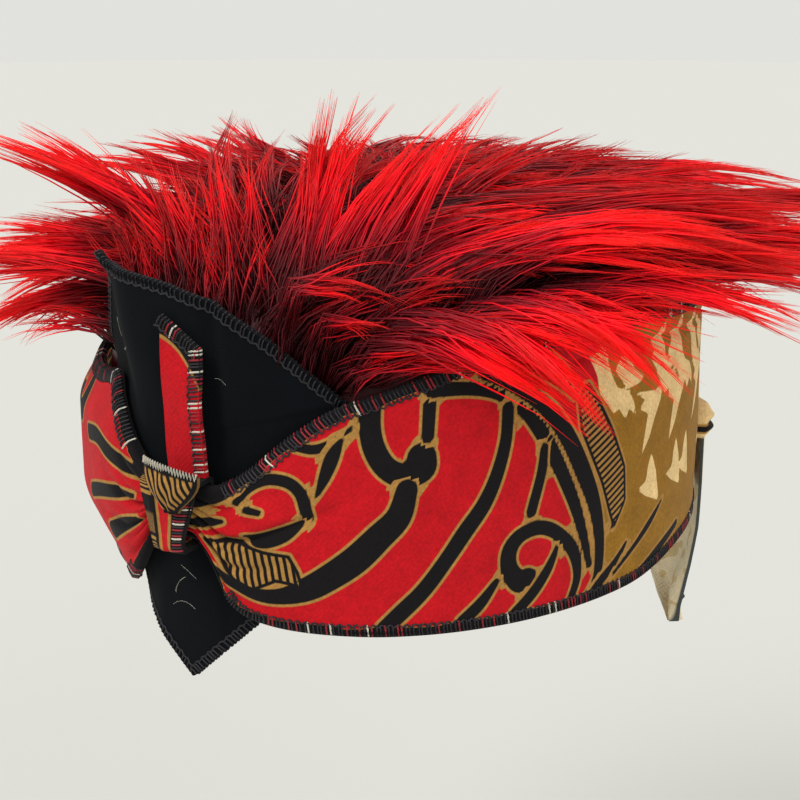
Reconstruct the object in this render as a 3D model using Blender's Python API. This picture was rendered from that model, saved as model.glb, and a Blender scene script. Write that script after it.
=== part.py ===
"""Balinese udeng: a gathered batik head band with a felt panel, a fur crown and a tied tail.

Sizes are in metres. The origin is the centre of the head opening, on the plane of the band's
lower rim. The front of the wearer's head is -Y, the wearer's left side is +X and up is +Z.
Places round the head are angles in degrees: 0 at the front, 90 at the wearer's left.
"""

import math
import random
from collections import namedtuple

import bmesh
import bpy
from mathutils import Vector

MM = 0.001

# Head band: an oval wall of cloth, 57 cm round inside
BAND_HALF_LENGTH = 100 * MM
BAND_HALF_WIDTH = 86 * MM
BAND_WALL = 2.2 * MM
BAND_BUNCH = 3.4 * MM
BAND_STAND_OFF = 2.2 * MM
BUNCH_REACH = 13.0
STAND_OFF_REACH = 22.0
LOW_TUCK_HEIGHT = 24 * MM
HIGH_TUCK_START = 44 * MM
HIGH_TUCK_HEIGHT = 16 * MM
NEAR_STEP = 3.5
FAR_STEP = 10.0
NEAR_REACH = 45.5

# Felt panel behind the gathered front
PIECE_GAP = 0.55 * MM
FELT_WALL = 2.0 * MM
FELT_LEAN_START = 3 * MM
FELT_LEAN = 0.16
FELT_SHY = 0.27
FELT_ROWS = 11
FELT_STEP = 5.0

# Wrap, fold and upright tail at the knot
WRAP_WALL = 1.2 * MM
WRAP_CLEARANCE = 1.0 * MM
WRAP_TURNS = 20
WRAP_ACROSS = 5
WRAP_TOP_HALF_WIDTH = 7.6 * MM
WRAP_LOW_HALF_WIDTH = 4.2 * MM
WRAP_ASIDE = 2.6 * MM
KNOT_LOW = 23.8 * MM
KNOT_TOP = 38.0 * MM
FOLD_TOP = 44.6 * MM
FOLD_LOW = 33.6 * MM
FOLD_HALF_WIDTH = 7.0 * MM
FOLD_ASIDE = 5.8 * MM
FOLD_SLANT = 1.3 * MM
FOLD_BULGE = 3.0 * MM
TAIL_WALL = 1.6 * MM
TAIL_LOW = 40.4 * MM
TAIL_LEFT_TOP = 80.5 * MM
TAIL_RIGHT_TOP = 73.0 * MM
TAIL_FROM = -0.6
TAIL_TO = 6.6

# Crown cloth under the fur
CROWN_WALL = 1.8 * MM
CROWN_RIM = 66 * MM
CROWN_LOW_RIM = 50 * MM
CROWN_DROP = 7 * MM
CROWN_RISE = 22 * MM
CROWN_RINGS = 5
CROWN_SPOKES = 36
PILE_BASE_WALL = 1.6 * MM
PILE_BULK = 6.0 * MM
PILE_BASE_GAP = 0.4 * MM

# Fur locks
LOCK_SEGMENTS = 5
LOCK_SIDES = 3
LOCK_HALF_WIDTH = 6.0 * MM
LOCK_FLATNESS = 0.48
LOCK_TIP = 0.35 * MM
LOCK_ROOT = 0.8 * MM
LOCK_SINK = 2.4 * MM
LOCK_CLEARANCE = 1.2 * MM
RIM_MARGIN = 9 * MM
LOCK_SEED = 7

# Tie at the rear, on the wearer's left quarter
REAR_TIE_ANGLE = 126.0
REAR_TIE_HEIGHT = 27 * MM
REAR_TAIL_WALL = 1.6 * MM

BandSection = namedtuple("BandSection", "degrees bottom top low_tuck high_tuck")
BAND_SECTIONS = (
    BandSection(-180, 5.0, 72.0, 0.0, 0.0),
    BandSection(-115, 3.0, 72.5, 0.0, 0.0),
    BandSection(-85, 0.5, 67.0, 1.5, 4.0),
    BandSection(-58, 0.2, 59.0, 5.0, 7.0),
    BandSection(-40, 0.6, 57.0, 8.5, 6.0),
    BandSection(-28, 1.0, 58.0, 9.0, 4.5),
    BandSection(-20, 2.2, 60.0, 6.5, 3.5),
    BandSection(-14, 6.0, 54.0, 3.0, 1.0),
    BandSection(-10, 10.5, 46.0, 1.0, 0.0),
    BandSection(-6, 18.5, 40.5, 0.0, 0.0),
    BandSection(-3.5, 24.0, 38.1, 0.0, 0.0),
    BandSection(0, 24.5, 38.0, 0.0, 0.0),
    BandSection(4.5, 24.3, 38.0, 0.0, 0.0),
    BandSection(7.0, 19.5, 38.1, 0.0, 0.0),
    BandSection(10.5, 8.0, 40.0, 0.0, 0.0),
    BandSection(14.5, 4.2, 44.0, 0.0, 0.0),
    BandSection(21, 2.2, 52.5, 0.0, 0.0),
    BandSection(29, 1.3, 60.0, 0.0, 0.0),
    BandSection(36, 0.8, 63.5, 0.0, 0.0),
    BandSection(48, 0.5, 70.0, 0.0, 0.0),
    BandSection(60, 0.4, 74.0, 0.0, 0.0),
    BandSection(80, 0.5, 75.3, 0.0, 0.0),
    BandSection(100, 3.5, 73.5, 0.0, 0.0),
    BandSection(130, 5.0, 72.5, 0.0, 0.0),
    BandSection(180, 5.0, 72.0, 0.0, 0.0),
)

# A gather fold runs out from the knot at one share of the band's height
GatherFold = namedtuple("GatherFold", "share half_width depth left_reach right_reach")
GATHER_FOLDS = (
    GatherFold(0.13, 0.06, 2.2, 18.0, 18.0),
    GatherFold(0.36, 0.05, 2.4, 24.0, 26.0),
    GatherFold(0.56, 0.05, 3.0, 44.0, 22.0),
    GatherFold(0.80, 0.06, 2.4, 20.0, 16.0),
)

FeltSection = namedtuple("FeltSection", "degrees bottom top")
FELT_SECTIONS = (
    FeltSection(-28, 22.0, 67.0),
    FeltSection(-24.5, 16.0, 80.0),
    FeltSection(-19.5, 9.0, 90.5),
    FeltSection(-17.5, 6.0, 92.5),
    FeltSection(-15, 2.5, 90.6),
    FeltSection(-3, -12.0, 88.5),
    FeltSection(0.5, -16.4, 87.6),
    FeltSection(7.5, -7.0, 84.3),
    FeltSection(18, 7.0, 74.4),
    FeltSection(30, 23.0, 60.0),
    FeltSection(42, 38.0, 44.0),
)

RearSection = namedtuple("RearSection", "height centre half_width")
REAR_TAIL_SECTIONS = (
    RearSection(21.6, 126.0, 5.5),
    RearSection(8.0, 128.0, 9.5),
    RearSection(-8.0, 131.5, 12.0),
    RearSection(-24.0, 137.0, 13.0),
    RearSection(-37.0, 141.5, 12.0),
    RearSection(-43.0, 140.5, 7.0),
    RearSection(-49.0, 137.5, 0.8),
)

# A row of fur locks: roots on one ring of the crown, from one angle to another
FurRow = namedtuple(
    "FurRow",
    "name ring start end count length first_heading last_heading lift droop turn",
)
FUR_ROWS = (
    FurRow("forelock low", 0.92, -66, -36, 5, 50, -72, -54, 6, -36, 6),
    FurRow("forelock mid", 0.86, -56, -20, 6, 56, -68, -52, 18, -10, 6),
    FurRow("forelock high", 0.74, -46, -10, 5, 60, -78, -58, 38, 18, 8),
    FurRow("crest right", 0.86, -18, 10, 6, 46, -92, -140, 56, 34, 10),
    FurRow("crest left", 0.88, 12, 34, 6, 70, -164, -204, 60, 36, -18),
    FurRow("crest back", 0.66, -20, 44, 6, 58, -122, -196, 34, 10, -10),
    FurRow("sweep front", 0.90, 24, 46, 6, 84, 158, 132, 38, -20, -26),
    FurRow("fringe front", 0.93, 28, 52, 6, 62, 92, 98, 22, -50, 18),
    FurRow("fringe left", 0.93, 54, 96, 7, 72, 108, 114, 12, -30, 6),
    FurRow("side low", 0.82, 34, 96, 7, 84, 126, 118, 14, -18, -4),
    FurRow("side high", 0.66, 26, 110, 6, 92, 134, 120, 18, -16, -4),
    FurRow("top left", 0.44, 10, 150, 6, 90, 138, 124, 16, -16, -4),
    FurRow("rear left", 0.90, 100, 150, 6, 62, 118, 146, 8, -24, 4),
    FurRow("rear", 0.88, 156, 214, 7, 64, 152, 200, 10, -26, 6),
    FurRow("top back", 0.56, 150, 236, 6, 72, 144, 200, 12, -18, 4),
    FurRow("rear right", 0.90, 220, 268, 6, 62, 206, 252, 10, -26, 6),
    FurRow("middle right", 0.72, 196, 262, 5, 64, 184, 240, 12, -20, 6),
    FurRow("middle", 0.24, 70, 290, 5, 72, 126, 206, 14, -14, 4),
    FurRow("side right", 0.90, -90, -66, 4, 58, -92, -78, 10, -18, 6),
    FurRow("top right", 0.52, -110, -36, 6, 66, -116, -82, 22, -6, 6),
)

CLOTH_RED = (0.56, 0.012, 0.022)
CLOTH_GOLD = (0.42, 0.26, 0.09)
CLOTH_CREAM = (0.82, 0.62, 0.36)
FELT_BLACK = (0.008, 0.010, 0.014)
FUR_RED = (0.66, 0.006, 0.010)
KNIT_DARK = (0.03, 0.008, 0.012)


def clear_scene():
    """Remove every object of the open scene."""
    for old in list(bpy.data.objects):
        bpy.data.objects.remove(old, do_unlink=True)


def cloth_material(name, colour, roughness):
    """A plain cloth material: colour and roughness, not metallic."""
    material = bpy.data.materials.new(name)
    material.use_nodes = True
    shader = material.node_tree.nodes["Principled BSDF"]
    shader.inputs["Base Color"].default_value = (*colour, 1.0)
    shader.inputs["Roughness"].default_value = roughness
    shader.inputs["Metallic"].default_value = 0.0
    return material


def add_solid(name, points, faces, material, smooth_angle=40.0):
    """Make one named object from points and faces, with its faces pointing out."""
    mesh = bpy.data.meshes.new(name)
    mesh.from_pydata([tuple(point) for point in points], [], faces)
    work = bmesh.new()
    work.from_mesh(mesh)
    bmesh.ops.recalc_face_normals(work, faces=work.faces)
    work.to_mesh(mesh)
    work.free()
    mesh.materials.append(material)
    mesh.shade_smooth()
    mesh.set_sharp_from_angle(angle=math.radians(smooth_angle))
    solid = bpy.data.objects.new(name, mesh)
    bpy.context.scene.collection.objects.link(solid)
    return solid


def ease(value):
    """Smooth step from 0 to 1."""
    held = min(max(value, 0.0), 1.0)
    return held * held * (3.0 - 2.0 * held)


def blend(first, last, share):
    """Linear mix of two numbers or vectors."""
    return first + (last - first) * share


def curve_value(rows, column, at):
    """A table's column as a smooth curve through its rows, read at one place of the first column."""
    places = [row[0] for row in rows]
    values = [getattr(row, column) for row in rows]
    at = min(max(at, min(places)), max(places))
    index = max(i for i in range(len(rows) - 1) if places[i] <= at)

    def slope(i):
        if i in (0, len(rows) - 1):
            return 0.0
        before = (values[i] - values[i - 1]) / (places[i] - places[i - 1])
        after = (values[i + 1] - values[i]) / (places[i + 1] - places[i])
        if before * after <= 0.0:
            return 0.0
        return 2.0 * before * after / (before + after)

    span = places[index + 1] - places[index]
    t = (at - places[index]) / span
    first, last = values[index], values[index + 1]
    return (
        first * (1 + 2 * t) * (1 - t) ** 2
        + slope(index) * span * t * (1 - t) ** 2
        + last * t * t * (3 - 2 * t)
        + slope(index + 1) * span * t * t * (t - 1)
    )


def line_value(rows, column, at):
    """A table's column as straight runs between its rows."""
    for before, after in zip(rows, rows[1:]):
        if before[0] <= at <= after[0] or before[0] >= at >= after[0]:
            share = (at - before[0]) / (after[0] - before[0])
            return blend(getattr(before, column), getattr(after, column), share)
    return getattr(rows[-1], column)


def band_value(column, degrees):
    """A column of the band's sections at an angle, in metres."""
    wrapped = (degrees + 180.0) % 360.0 - 180.0
    return curve_value(BAND_SECTIONS, column, wrapped) * MM


def wall_point(degrees, offset, height):
    """A point beside the band's oval outline, moved out along its normal by the offset."""
    angle = math.radians(degrees)
    x = BAND_HALF_WIDTH * math.sin(angle)
    y = -BAND_HALF_LENGTH * math.cos(angle)
    normal = Vector((x / BAND_HALF_WIDTH**2, y / BAND_HALF_LENGTH**2, 0.0)).normalized()
    return Vector((x, y, height)) + normal * offset


def edge_tuck(degrees, height):
    """How far the cloth is drawn in towards the head near its lower and upper edges."""
    low = band_value("low_tuck", degrees) * ease(1.0 - height / LOW_TUCK_HEIGHT)
    high = band_value("high_tuck", degrees)
    return low + high * ease((height - HIGH_TUCK_START) / HIGH_TUCK_HEIGHT)


def sheet_faces(columns, rows, closed):
    """Faces of a closed sheet: an outer grid, an inner grid and the strips that join their edges."""
    inner = columns * rows

    def outer_at(i, j):
        return (i % columns) * rows + j

    faces = []
    spans = columns if closed else columns - 1
    for i in range(spans):
        for j in range(rows - 1):
            a, b = outer_at(i, j), outer_at(i + 1, j)
            c, d = outer_at(i + 1, j + 1), outer_at(i, j + 1)
            faces.append((a, b, c, d))
            faces.append((inner + d, inner + c, inner + b, inner + a))
        for j, turned in ((0, True), (rows - 1, False)):
            a, b = outer_at(i, j), outer_at(i + 1, j)
            strip = (a, b, inner + b, inner + a)
            faces.append(strip[::-1] if turned else strip)
    if not closed:
        for i, turned in ((0, True), (columns - 1, False)):
            for j in range(rows - 1):
                a, b = outer_at(i, j), outer_at(i, j + 1)
                strip = (a, inner + a, inner + b, b)
                faces.append(strip[::-1] if turned else strip)
    return faces


def add_sheet(name, outer, inner, closed, material):
    """A cloth wall from two matching grids of points, given as lists of columns."""
    points = [point for column in outer for point in column]
    points += [point for column in inner for point in column]
    faces = sheet_faces(len(outer), len(outer[0]), closed)
    return add_solid(name, points, faces, material)


def band_angles():
    """Angles of the band's columns: close together at the gathers and wider behind."""
    near = [i * NEAR_STEP - NEAR_REACH for i in range(int(2 * NEAR_REACH / NEAR_STEP) + 1)]
    rest = 360.0 - 2 * NEAR_REACH
    count = round(rest / FAR_STEP)
    return near + [NEAR_REACH + rest * i / count for i in range(1, count)]


def band_shares():
    """Shares of the band's height: both edges, and each fold's valley and two ridges."""
    shares = {0.0, 1.0}
    for fold in GATHER_FOLDS:
        shares |= {fold.share - fold.half_width, fold.share, fold.share + fold.half_width}
    return sorted(shares)


def fold_depth(degrees, share):
    """Depth of the gather folds below the cloth's surface."""
    depth = 0.0
    for fold in GATHER_FOLDS:
        reach = fold.left_reach if degrees > 0 else fold.right_reach
        along = ease(1.0 - abs(degrees) / reach)
        across = max(0.0, 1.0 - abs(share - fold.share) / fold.half_width)
        depth += fold.depth * MM * along * across
    return depth


def gather_puff(degrees, share):
    """How far the cloth stands out in front of the oval where it is gathered."""
    wrapped = (degrees + 180.0) % 360.0 - 180.0
    arch = math.sin(math.pi * share) ** 0.6
    close = ease(1.0 - abs(wrapped) / BUNCH_REACH)
    wide = ease(1.0 - abs(abs(wrapped) - 13.0) / 20.0)
    puff = BAND_STAND_OFF * ease(1.0 - abs(wrapped) / STAND_OFF_REACH)
    swell = (1.8 * MM * close + 2.6 * MM * wide) * arch
    return max(0.0, puff + swell - fold_depth(wrapped, share))


def make_band():
    """The batik band: a hollow oval wall, gathered to a narrow neck at the front."""
    outer, inner = [], []
    for degrees in band_angles():
        bottom, top = band_value("bottom", degrees), band_value("top", degrees)
        wrapped = (degrees + 180.0) % 360.0 - 180.0
        bunch = BAND_BUNCH * ease(1.0 - abs(wrapped) / BUNCH_REACH)
        outer_column, inner_column = [], []
        for share in band_shares():
            height = blend(bottom, top, share)
            face = gather_puff(degrees, share) - edge_tuck(degrees, height)
            arch = math.sin(math.pi * share) ** 0.6
            back = min(face - BAND_WALL - bunch * arch, face - BAND_WALL)
            floor = -BAND_WALL - edge_tuck(degrees, height)
            floor += BAND_STAND_OFF * ease(1.0 - abs(wrapped) / STAND_OFF_REACH)
            outer_column.append(wall_point(degrees, face, height))
            inner_column.append(wall_point(degrees, max(back, floor), height))
        outer.append(outer_column)
        inner.append(inner_column)
    return add_sheet("band", outer, inner, True, cloth_material("band", CLOTH_RED, 0.8))


def felt_offset(degrees, height):
    """Place of the felt's outer face beside the oval: behind the band, leaning out above it."""
    behind = -BAND_WALL - PIECE_GAP - (1.0 + FELT_SHY) * edge_tuck(degrees, height)
    share = ease((20.0 - degrees) / 38.0)
    lean = FELT_LEAN * blend(0.2, 1.0, share)
    start = max(band_value("top", degrees), HIGH_TUCK_START) + FELT_LEAN_START
    return behind + lean * max(0.0, height - start)


def make_front_panel():
    """The felt panel: a kite with its tip above the knot and its point below the rim."""
    angles = []
    for before, after in zip(FELT_SECTIONS, FELT_SECTIONS[1:]):
        steps = max(1, round((after.degrees - before.degrees) / FELT_STEP))
        angles += [blend(before.degrees, after.degrees, i / steps) for i in range(steps)]
    angles.append(FELT_SECTIONS[-1].degrees)
    outer, inner = [], []
    for degrees in angles:
        bottom = line_value(FELT_SECTIONS, "bottom", degrees) * MM
        top = line_value(FELT_SECTIONS, "top", degrees) * MM
        heights = [blend(bottom, top, i / (FELT_ROWS - 1)) for i in range(FELT_ROWS)]
        outer.append([wall_point(degrees, felt_offset(degrees, z), z) for z in heights])
        inner.append(
            [wall_point(degrees, felt_offset(degrees, z) - FELT_WALL, z) for z in heights]
        )
    return add_sheet("front_panel", outer, inner, False, cloth_material("felt", FELT_BLACK, 0.95))


def front_point(across, offset, height):
    """A point at the front of the band, placed by its distance aside of the middle."""
    return wall_point(math.degrees(across / BAND_HALF_WIDTH), offset, height)


def knot_middle():
    """Middle of the gathered neck: its offset from the oval and its height."""
    return BAND_STAND_OFF - BAND_WALL + (BAND_WALL + BAND_BUNCH) / 2, (KNOT_LOW + KNOT_TOP) / 2


def ring_point(turn, half_depth, half_height):
    """A point of a rounded oblong round the neck, as an offset and a height."""
    angle = 2 * math.pi * turn
    power = 2 / 8
    c, s = math.cos(angle), math.sin(angle)
    offset = half_depth * math.copysign(abs(c) ** power, c)
    return offset, half_height * math.copysign(abs(s) ** power, s)


def make_knot_wrap():
    """The strip wound round the gathered neck: a closed loop, narrower at its foot."""
    middle, height = knot_middle()
    half_depth = (BAND_WALL + BAND_BUNCH) / 2 + WRAP_CLEARANCE
    half_height = (KNOT_TOP - KNOT_LOW) / 2 + WRAP_CLEARANCE
    outer, inner = [], []
    for i in range(WRAP_TURNS):
        turn = (i + 0.5) / WRAP_TURNS
        outer_column, inner_column = [], []
        for j in range(WRAP_ACROSS):
            side = 2 * j / (WRAP_ACROSS - 1) - 1
            offset, rise = ring_point(turn, half_depth, half_height)
            raised = ease(0.5 + 0.5 * rise / half_height)
            half_width = blend(WRAP_LOW_HALF_WIDTH, WRAP_TOP_HALF_WIDTH, raised)
            crown = 0.7 * MM * (1 - side * side) * ease(offset / half_depth)
            far, up = ring_point(turn, half_depth + WRAP_WALL + crown, half_height + WRAP_WALL)
            across_at = WRAP_ASIDE + half_width * side
            inner_column.append(front_point(across_at, middle + offset, height + rise))
            outer_column.append(front_point(across_at, middle + far, height + up))
        outer.append(outer_column)
        inner.append(inner_column)
    return add_sheet("knot_wrap", outer, inner, True, cloth_material("wrap", CLOTH_RED, 0.8))


def make_knot_fold():
    """The shield-shaped fold of cloth that bulges over the upper half of the wrap."""
    middle, _ = knot_middle()
    seat = middle + (BAND_WALL + BAND_BUNCH) / 2 + WRAP_CLEARANCE + WRAP_WALL + 0.7 * MM
    seat += PIECE_GAP
    rows, columns = 6, 6
    outer, inner = [], []
    for j in range(columns):
        side = 2 * j / (columns - 1) - 1
        outer_column, inner_column = [], []
        for i in range(rows):
            share = i / (rows - 1)
            height = blend(FOLD_LOW, FOLD_TOP, share) - FOLD_SLANT * side * share
            half_width = FOLD_HALF_WIDTH * math.sqrt(blend(0.08, 1.0, ease(share * 1.15)))
            aside = FOLD_ASIDE + half_width * side
            bulge = FOLD_BULGE * math.sqrt(max(0.0, 1 - side * side)) * math.sin(
                math.pi * blend(0.12, 0.86, share)
            )
            front = seat + 1.0 * MM + bulge
            outer_column.append(front_point(aside, front, height))
            inner_column.append(front_point(aside, seat, height))
        outer.append(outer_column)
        inner.append(inner_column)
    return add_sheet("knot_fold", outer, inner, False, cloth_material("fold", CLOTH_GOLD, 0.85))


def make_knot_tail():
    """The upright end of the strip: it stands on the wrap, in front of the felt."""
    columns, rows = 4, 9
    outer, inner = [], []
    for i in range(columns):
        across = i / (columns - 1)
        degrees = blend(TAIL_FROM, TAIL_TO, across)
        top = blend(TAIL_LEFT_TOP, TAIL_RIGHT_TOP, across)
        outer_column, inner_column = [], []
        for j in range(rows):
            height = blend(TAIL_LOW, top, j / (rows - 1))
            behind = max(felt_offset(degrees, height), -0.6 * MM) + PIECE_GAP
            behind += 1.6 * MM * math.sin(math.pi * j / (rows - 1))
            inner_column.append(wall_point(degrees, behind, height))
            outer_column.append(wall_point(degrees, behind + TAIL_WALL, height))
        outer.append(outer_column)
        inner.append(inner_column)
    return add_sheet("knot_tail", outer, inner, False, cloth_material("tail", CLOTH_RED, 0.8))


def crown_inset(degrees):
    """Distance from the oval to the crown cloth's rim: inside the band, and the felt where it is."""
    wrapped = (degrees + 180.0) % 360.0 - 180.0
    first, last = FELT_SECTIONS[0].degrees, FELT_SECTIONS[-1].degrees
    inside = ease((wrapped - first + 12.0) / 12.0) * ease((last + 12.0 - wrapped) / 12.0)
    return BAND_WALL + PIECE_GAP + band_value("high_tuck", wrapped) + (
        FELT_WALL + PIECE_GAP
    ) * inside


def dome_point(ring, degrees, raised):
    """A point of the crown's dome: ring 1 is its rim and ring 0 its middle."""
    rim = wall_point(degrees, -crown_inset(degrees), 0.0)
    rim_level = band_value("top", degrees) - CROWN_DROP
    rim_level = min(max(rim_level, CROWN_LOW_RIM), CROWN_RIM)
    level = blend(CROWN_RIM, rim_level, ring**6)
    height = level + CROWN_RISE * math.sqrt(max(0.0, 1.0 - ring**4))
    return Vector((rim.x * ring, rim.y * ring, height + raised))


def pile_top(ring):
    """Height of the pile's packed foot above the crown cloth: thin at the rim."""
    return CROWN_WALL + PILE_BASE_GAP + PILE_BASE_WALL + PILE_BULK * (1.0 - ring**3)


def dome_solid(name, low, high, material):
    """A domed sheet whose lower and upper heights above the crown are functions of the ring."""
    points = [dome_point(0.0, 0.0, high(0.0)), dome_point(0.0, 0.0, low(0.0))]
    for raised in (high, low):
        for i in range(1, CROWN_RINGS + 1):
            ring = math.sin(0.5 * math.pi * i / CROWN_RINGS)
            for k in range(CROWN_SPOKES):
                points.append(dome_point(ring, 360.0 * k / CROWN_SPOKES, raised(ring)))
    faces = []
    layer = CROWN_RINGS * CROWN_SPOKES
    for start, top in ((2, True), (2 + layer, False)):
        for k in range(CROWN_SPOKES):
            after = (k + 1) % CROWN_SPOKES
            middle = 0 if top else 1
            tri = (middle, start + k, start + after)
            faces.append(tri if top else tri[::-1])
            for i in range(CROWN_RINGS - 1):
                a = start + i * CROWN_SPOKES
                b = a + CROWN_SPOKES
                for tri in ((a + k, b + k, b + after), (a + k, b + after, a + after)):
                    faces.append(tri if top else tri[::-1])
    edge = 2 + (CROWN_RINGS - 1) * CROWN_SPOKES
    for k in range(CROWN_SPOKES):
        after = (k + 1) % CROWN_SPOKES
        faces.append((edge + k, edge + layer + k, edge + layer + after, edge + after))
    return add_solid(name, points, faces, material)


def make_crown_cloth():
    """The dark cloth that closes the crown and carries the fur."""
    material = cloth_material("knit", KNIT_DARK, 0.95)
    return dome_solid("crown_cloth", lambda ring: 0.0, lambda ring: CROWN_WALL, material)


def oval_offset(point):
    """How far a point lies outside the band's oval, measured along the oval's normal."""
    level = math.hypot(point.x / BAND_HALF_WIDTH, point.y / BAND_HALF_LENGTH)
    if level < 1e-6:
        return -BAND_HALF_WIDTH
    slope = math.hypot(point.x / BAND_HALF_WIDTH**2, point.y / BAND_HALF_LENGTH**2) / level
    return (level - 1.0) / slope


def oval_angle(point):
    """Angle round the head of a point."""
    return math.degrees(math.atan2(point.x / BAND_HALF_WIDTH, -point.y / BAND_HALF_LENGTH))


def rim_height(degrees):
    """The highest edge at an angle: the band's, or the felt's where it stands above it."""
    wrapped = (degrees + 180.0) % 360.0 - 180.0
    top = band_value("top", wrapped)
    if FELT_SECTIONS[0].degrees <= wrapped <= FELT_SECTIONS[-1].degrees:
        top = max(top, line_value(FELT_SECTIONS, "top", wrapped) * MM)
    return top


def cleared(point, clearance):
    """The point, moved clear of the crown's dome and of the walls round it."""
    degrees = oval_angle(point)
    offset = oval_offset(point)
    rim = rim_height(degrees)
    moved = point.copy()
    if offset < 0.0:
        edge = wall_point(degrees, -crown_inset(degrees), 0.0)
        ring = min(math.hypot(point.x, point.y) / math.hypot(edge.x, edge.y), 1.0)
        foot = dome_point(ring, degrees, pile_top(ring)).z
        moved.z = max(moved.z, foot + clearance - LOCK_SINK)
    if -RIM_MARGIN < offset < clearance:
        moved.z = max(moved.z, rim + clearance)
    elif offset >= clearance and point.z < rim + clearance:
        away = wall_point(degrees, clearance * 1.3, point.z)
        if offset < clearance * 1.3:
            moved = away
    return moved


def lock_path(root, heading, row, length, half_width):
    """Middle line of a lock, bending from its lift at the root to its droop at the tip."""
    path = [root]
    step = length / LOCK_SEGMENTS
    for i in range(LOCK_SEGMENTS):
        share = (i + 0.5) / LOCK_SEGMENTS
        pitch = math.radians(blend(row.lift, row.droop, share))
        yaw = math.radians(heading + row.turn * share)
        flat = Vector((math.sin(yaw), -math.cos(yaw), 0.0))
        direction = flat * math.cos(pitch) + Vector((0.0, 0.0, math.sin(pitch)))
        clearance = half_width * LOCK_FLATNESS + LOCK_CLEARANCE
        point = cleared(path[-1] + direction * step, clearance)
        between = (path[-1] + point) / 2
        short = cleared(between, clearance).z - between.z
        point.z += max(0.0, short) * (2.0 if i else 1.0)
        path.append(point)
    return path


def lying_normal(point):
    """Which way a lock's flat side faces: up over the crown, outwards beside the band."""
    degrees = oval_angle(point)
    outward = wall_point(degrees, 1.0, 0.0) - wall_point(degrees, 0.0, 0.0)
    beside = ease((oval_offset(point) + 4 * MM) / (10 * MM))
    beside *= ease((rim_height(degrees) + 14 * MM - point.z) / (16 * MM))
    return (Vector((0.0, 0.0, 1.0)) * (1.0 - beside) + outward * beside).normalized()


def lock_solid(path, half_width):
    """A tapered lock along a path, flat in section, as points and faces."""
    points, faces = [], []
    last = len(path) - 1
    for i, middle in enumerate(path):
        along = (path[min(i + 1, last)] - path[max(i - 1, 0)]).normalized()
        side = along.cross(lying_normal(middle)).normalized()
        up = side.cross(along)
        share = i / last
        swell = ease(share / 0.28) * (1.0 - ease((share - 0.25) / 0.75)) ** 0.8
        radius = max(half_width * swell, blend(LOCK_ROOT, LOCK_TIP, ease(share * 2)))
        for k in range(LOCK_SIDES):
            angle = 2 * math.pi * k / LOCK_SIDES
            points.append(
                middle
                + side * radius * math.cos(angle)
                + up * radius * LOCK_FLATNESS * math.sin(angle)
            )
    for i in range(last):
        for k in range(LOCK_SIDES):
            a, b = i * LOCK_SIDES + k, i * LOCK_SIDES + (k + 1) % LOCK_SIDES
            faces.append((a, b, b + LOCK_SIDES, a + LOCK_SIDES))
    faces.append(tuple(range(LOCK_SIDES))[::-1])
    faces.append(tuple(last * LOCK_SIDES + k for k in range(LOCK_SIDES)))
    return points, faces


def fur_locks():
    """Every lock of the fur as a path and a half width, row by row."""
    chance = random.Random(LOCK_SEED)
    for row in FUR_ROWS:
        for i in range(row.count):
            share = (i + 0.5) / row.count
            degrees = blend(row.start, row.end, share) + chance.uniform(-1.5, 1.5)
            heading = blend(row.first_heading, row.last_heading, share)
            heading += chance.uniform(-7, 7)
            length = row.length * MM * chance.uniform(0.86, 1.12)
            ring = row.ring * chance.uniform(0.96, 1.01)
            low = CROWN_WALL + PILE_BASE_GAP
            root = dome_point(ring, degrees, blend(low, pile_top(ring), 0.45))
            half_width = LOCK_HALF_WIDTH * chance.uniform(0.8, 1.2)
            yield lock_path(root, heading, row, length, half_width), half_width


def shell_volume(faces):
    """Signed volume within a set of faces: negative where they face inwards, as round a void."""
    volume = 0.0
    for face in faces:
        corners = [corner.co for corner in face.verts]
        for second, third in zip(corners[1:], corners[2:]):
            volume += corners[0].dot(second.cross(third)) / 6.0
    return volume


def keep_outer_shell(solid):
    """Apply an object's modifiers and fill the small voids shut in between its joined shapes."""
    graph = bpy.context.evaluated_depsgraph_get()
    mesh = bpy.data.meshes.new_from_object(solid.evaluated_get(graph))
    work = bmesh.new()
    work.from_mesh(mesh)
    left = set(work.faces)
    while left:
        shell, edge_of_search = set(), [left.pop()]
        while edge_of_search:
            face = edge_of_search.pop()
            shell.add(face)
            for edge in face.edges:
                found = [near for near in edge.link_faces if near in left]
                left.difference_update(found)
                edge_of_search.extend(found)
        if shell_volume(shell) < 0.0:
            bmesh.ops.delete(work, geom=list(shell), context="FACES")
    work.to_mesh(mesh)
    work.free()
    solid.modifiers.clear()
    solid.data = mesh


def make_fur():
    """The fur: tapered locks joined to a thin domed pile base."""
    material = cloth_material("fur", FUR_RED, 0.6)
    fur = dome_solid("fur_locks", lambda ring: CROWN_WALL + PILE_BASE_GAP, pile_top, material)
    helpers = bpy.data.collections.new("lock_helpers")
    bpy.context.scene.collection.children.link(helpers)
    for number, (path, half_width) in enumerate(fur_locks()):
        points, faces = lock_solid(path, half_width)
        lock = add_solid(f"lock_{number}", points, faces, material)
        bpy.context.scene.collection.objects.unlink(lock)
        helpers.objects.link(lock)
        lock.hide_render = True
        lock.display_type = "WIRE"
    join = fur.modifiers.new("join locks", "BOOLEAN")
    join.operation = "UNION"
    join.operand_type = "COLLECTION"
    join.collection = helpers
    join.solver = "EXACT"
    keep_outer_shell(fur)
    for lock in list(helpers.objects):
        bpy.data.objects.remove(lock, do_unlink=True)
    bpy.data.collections.remove(helpers)
    return fur


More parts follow.
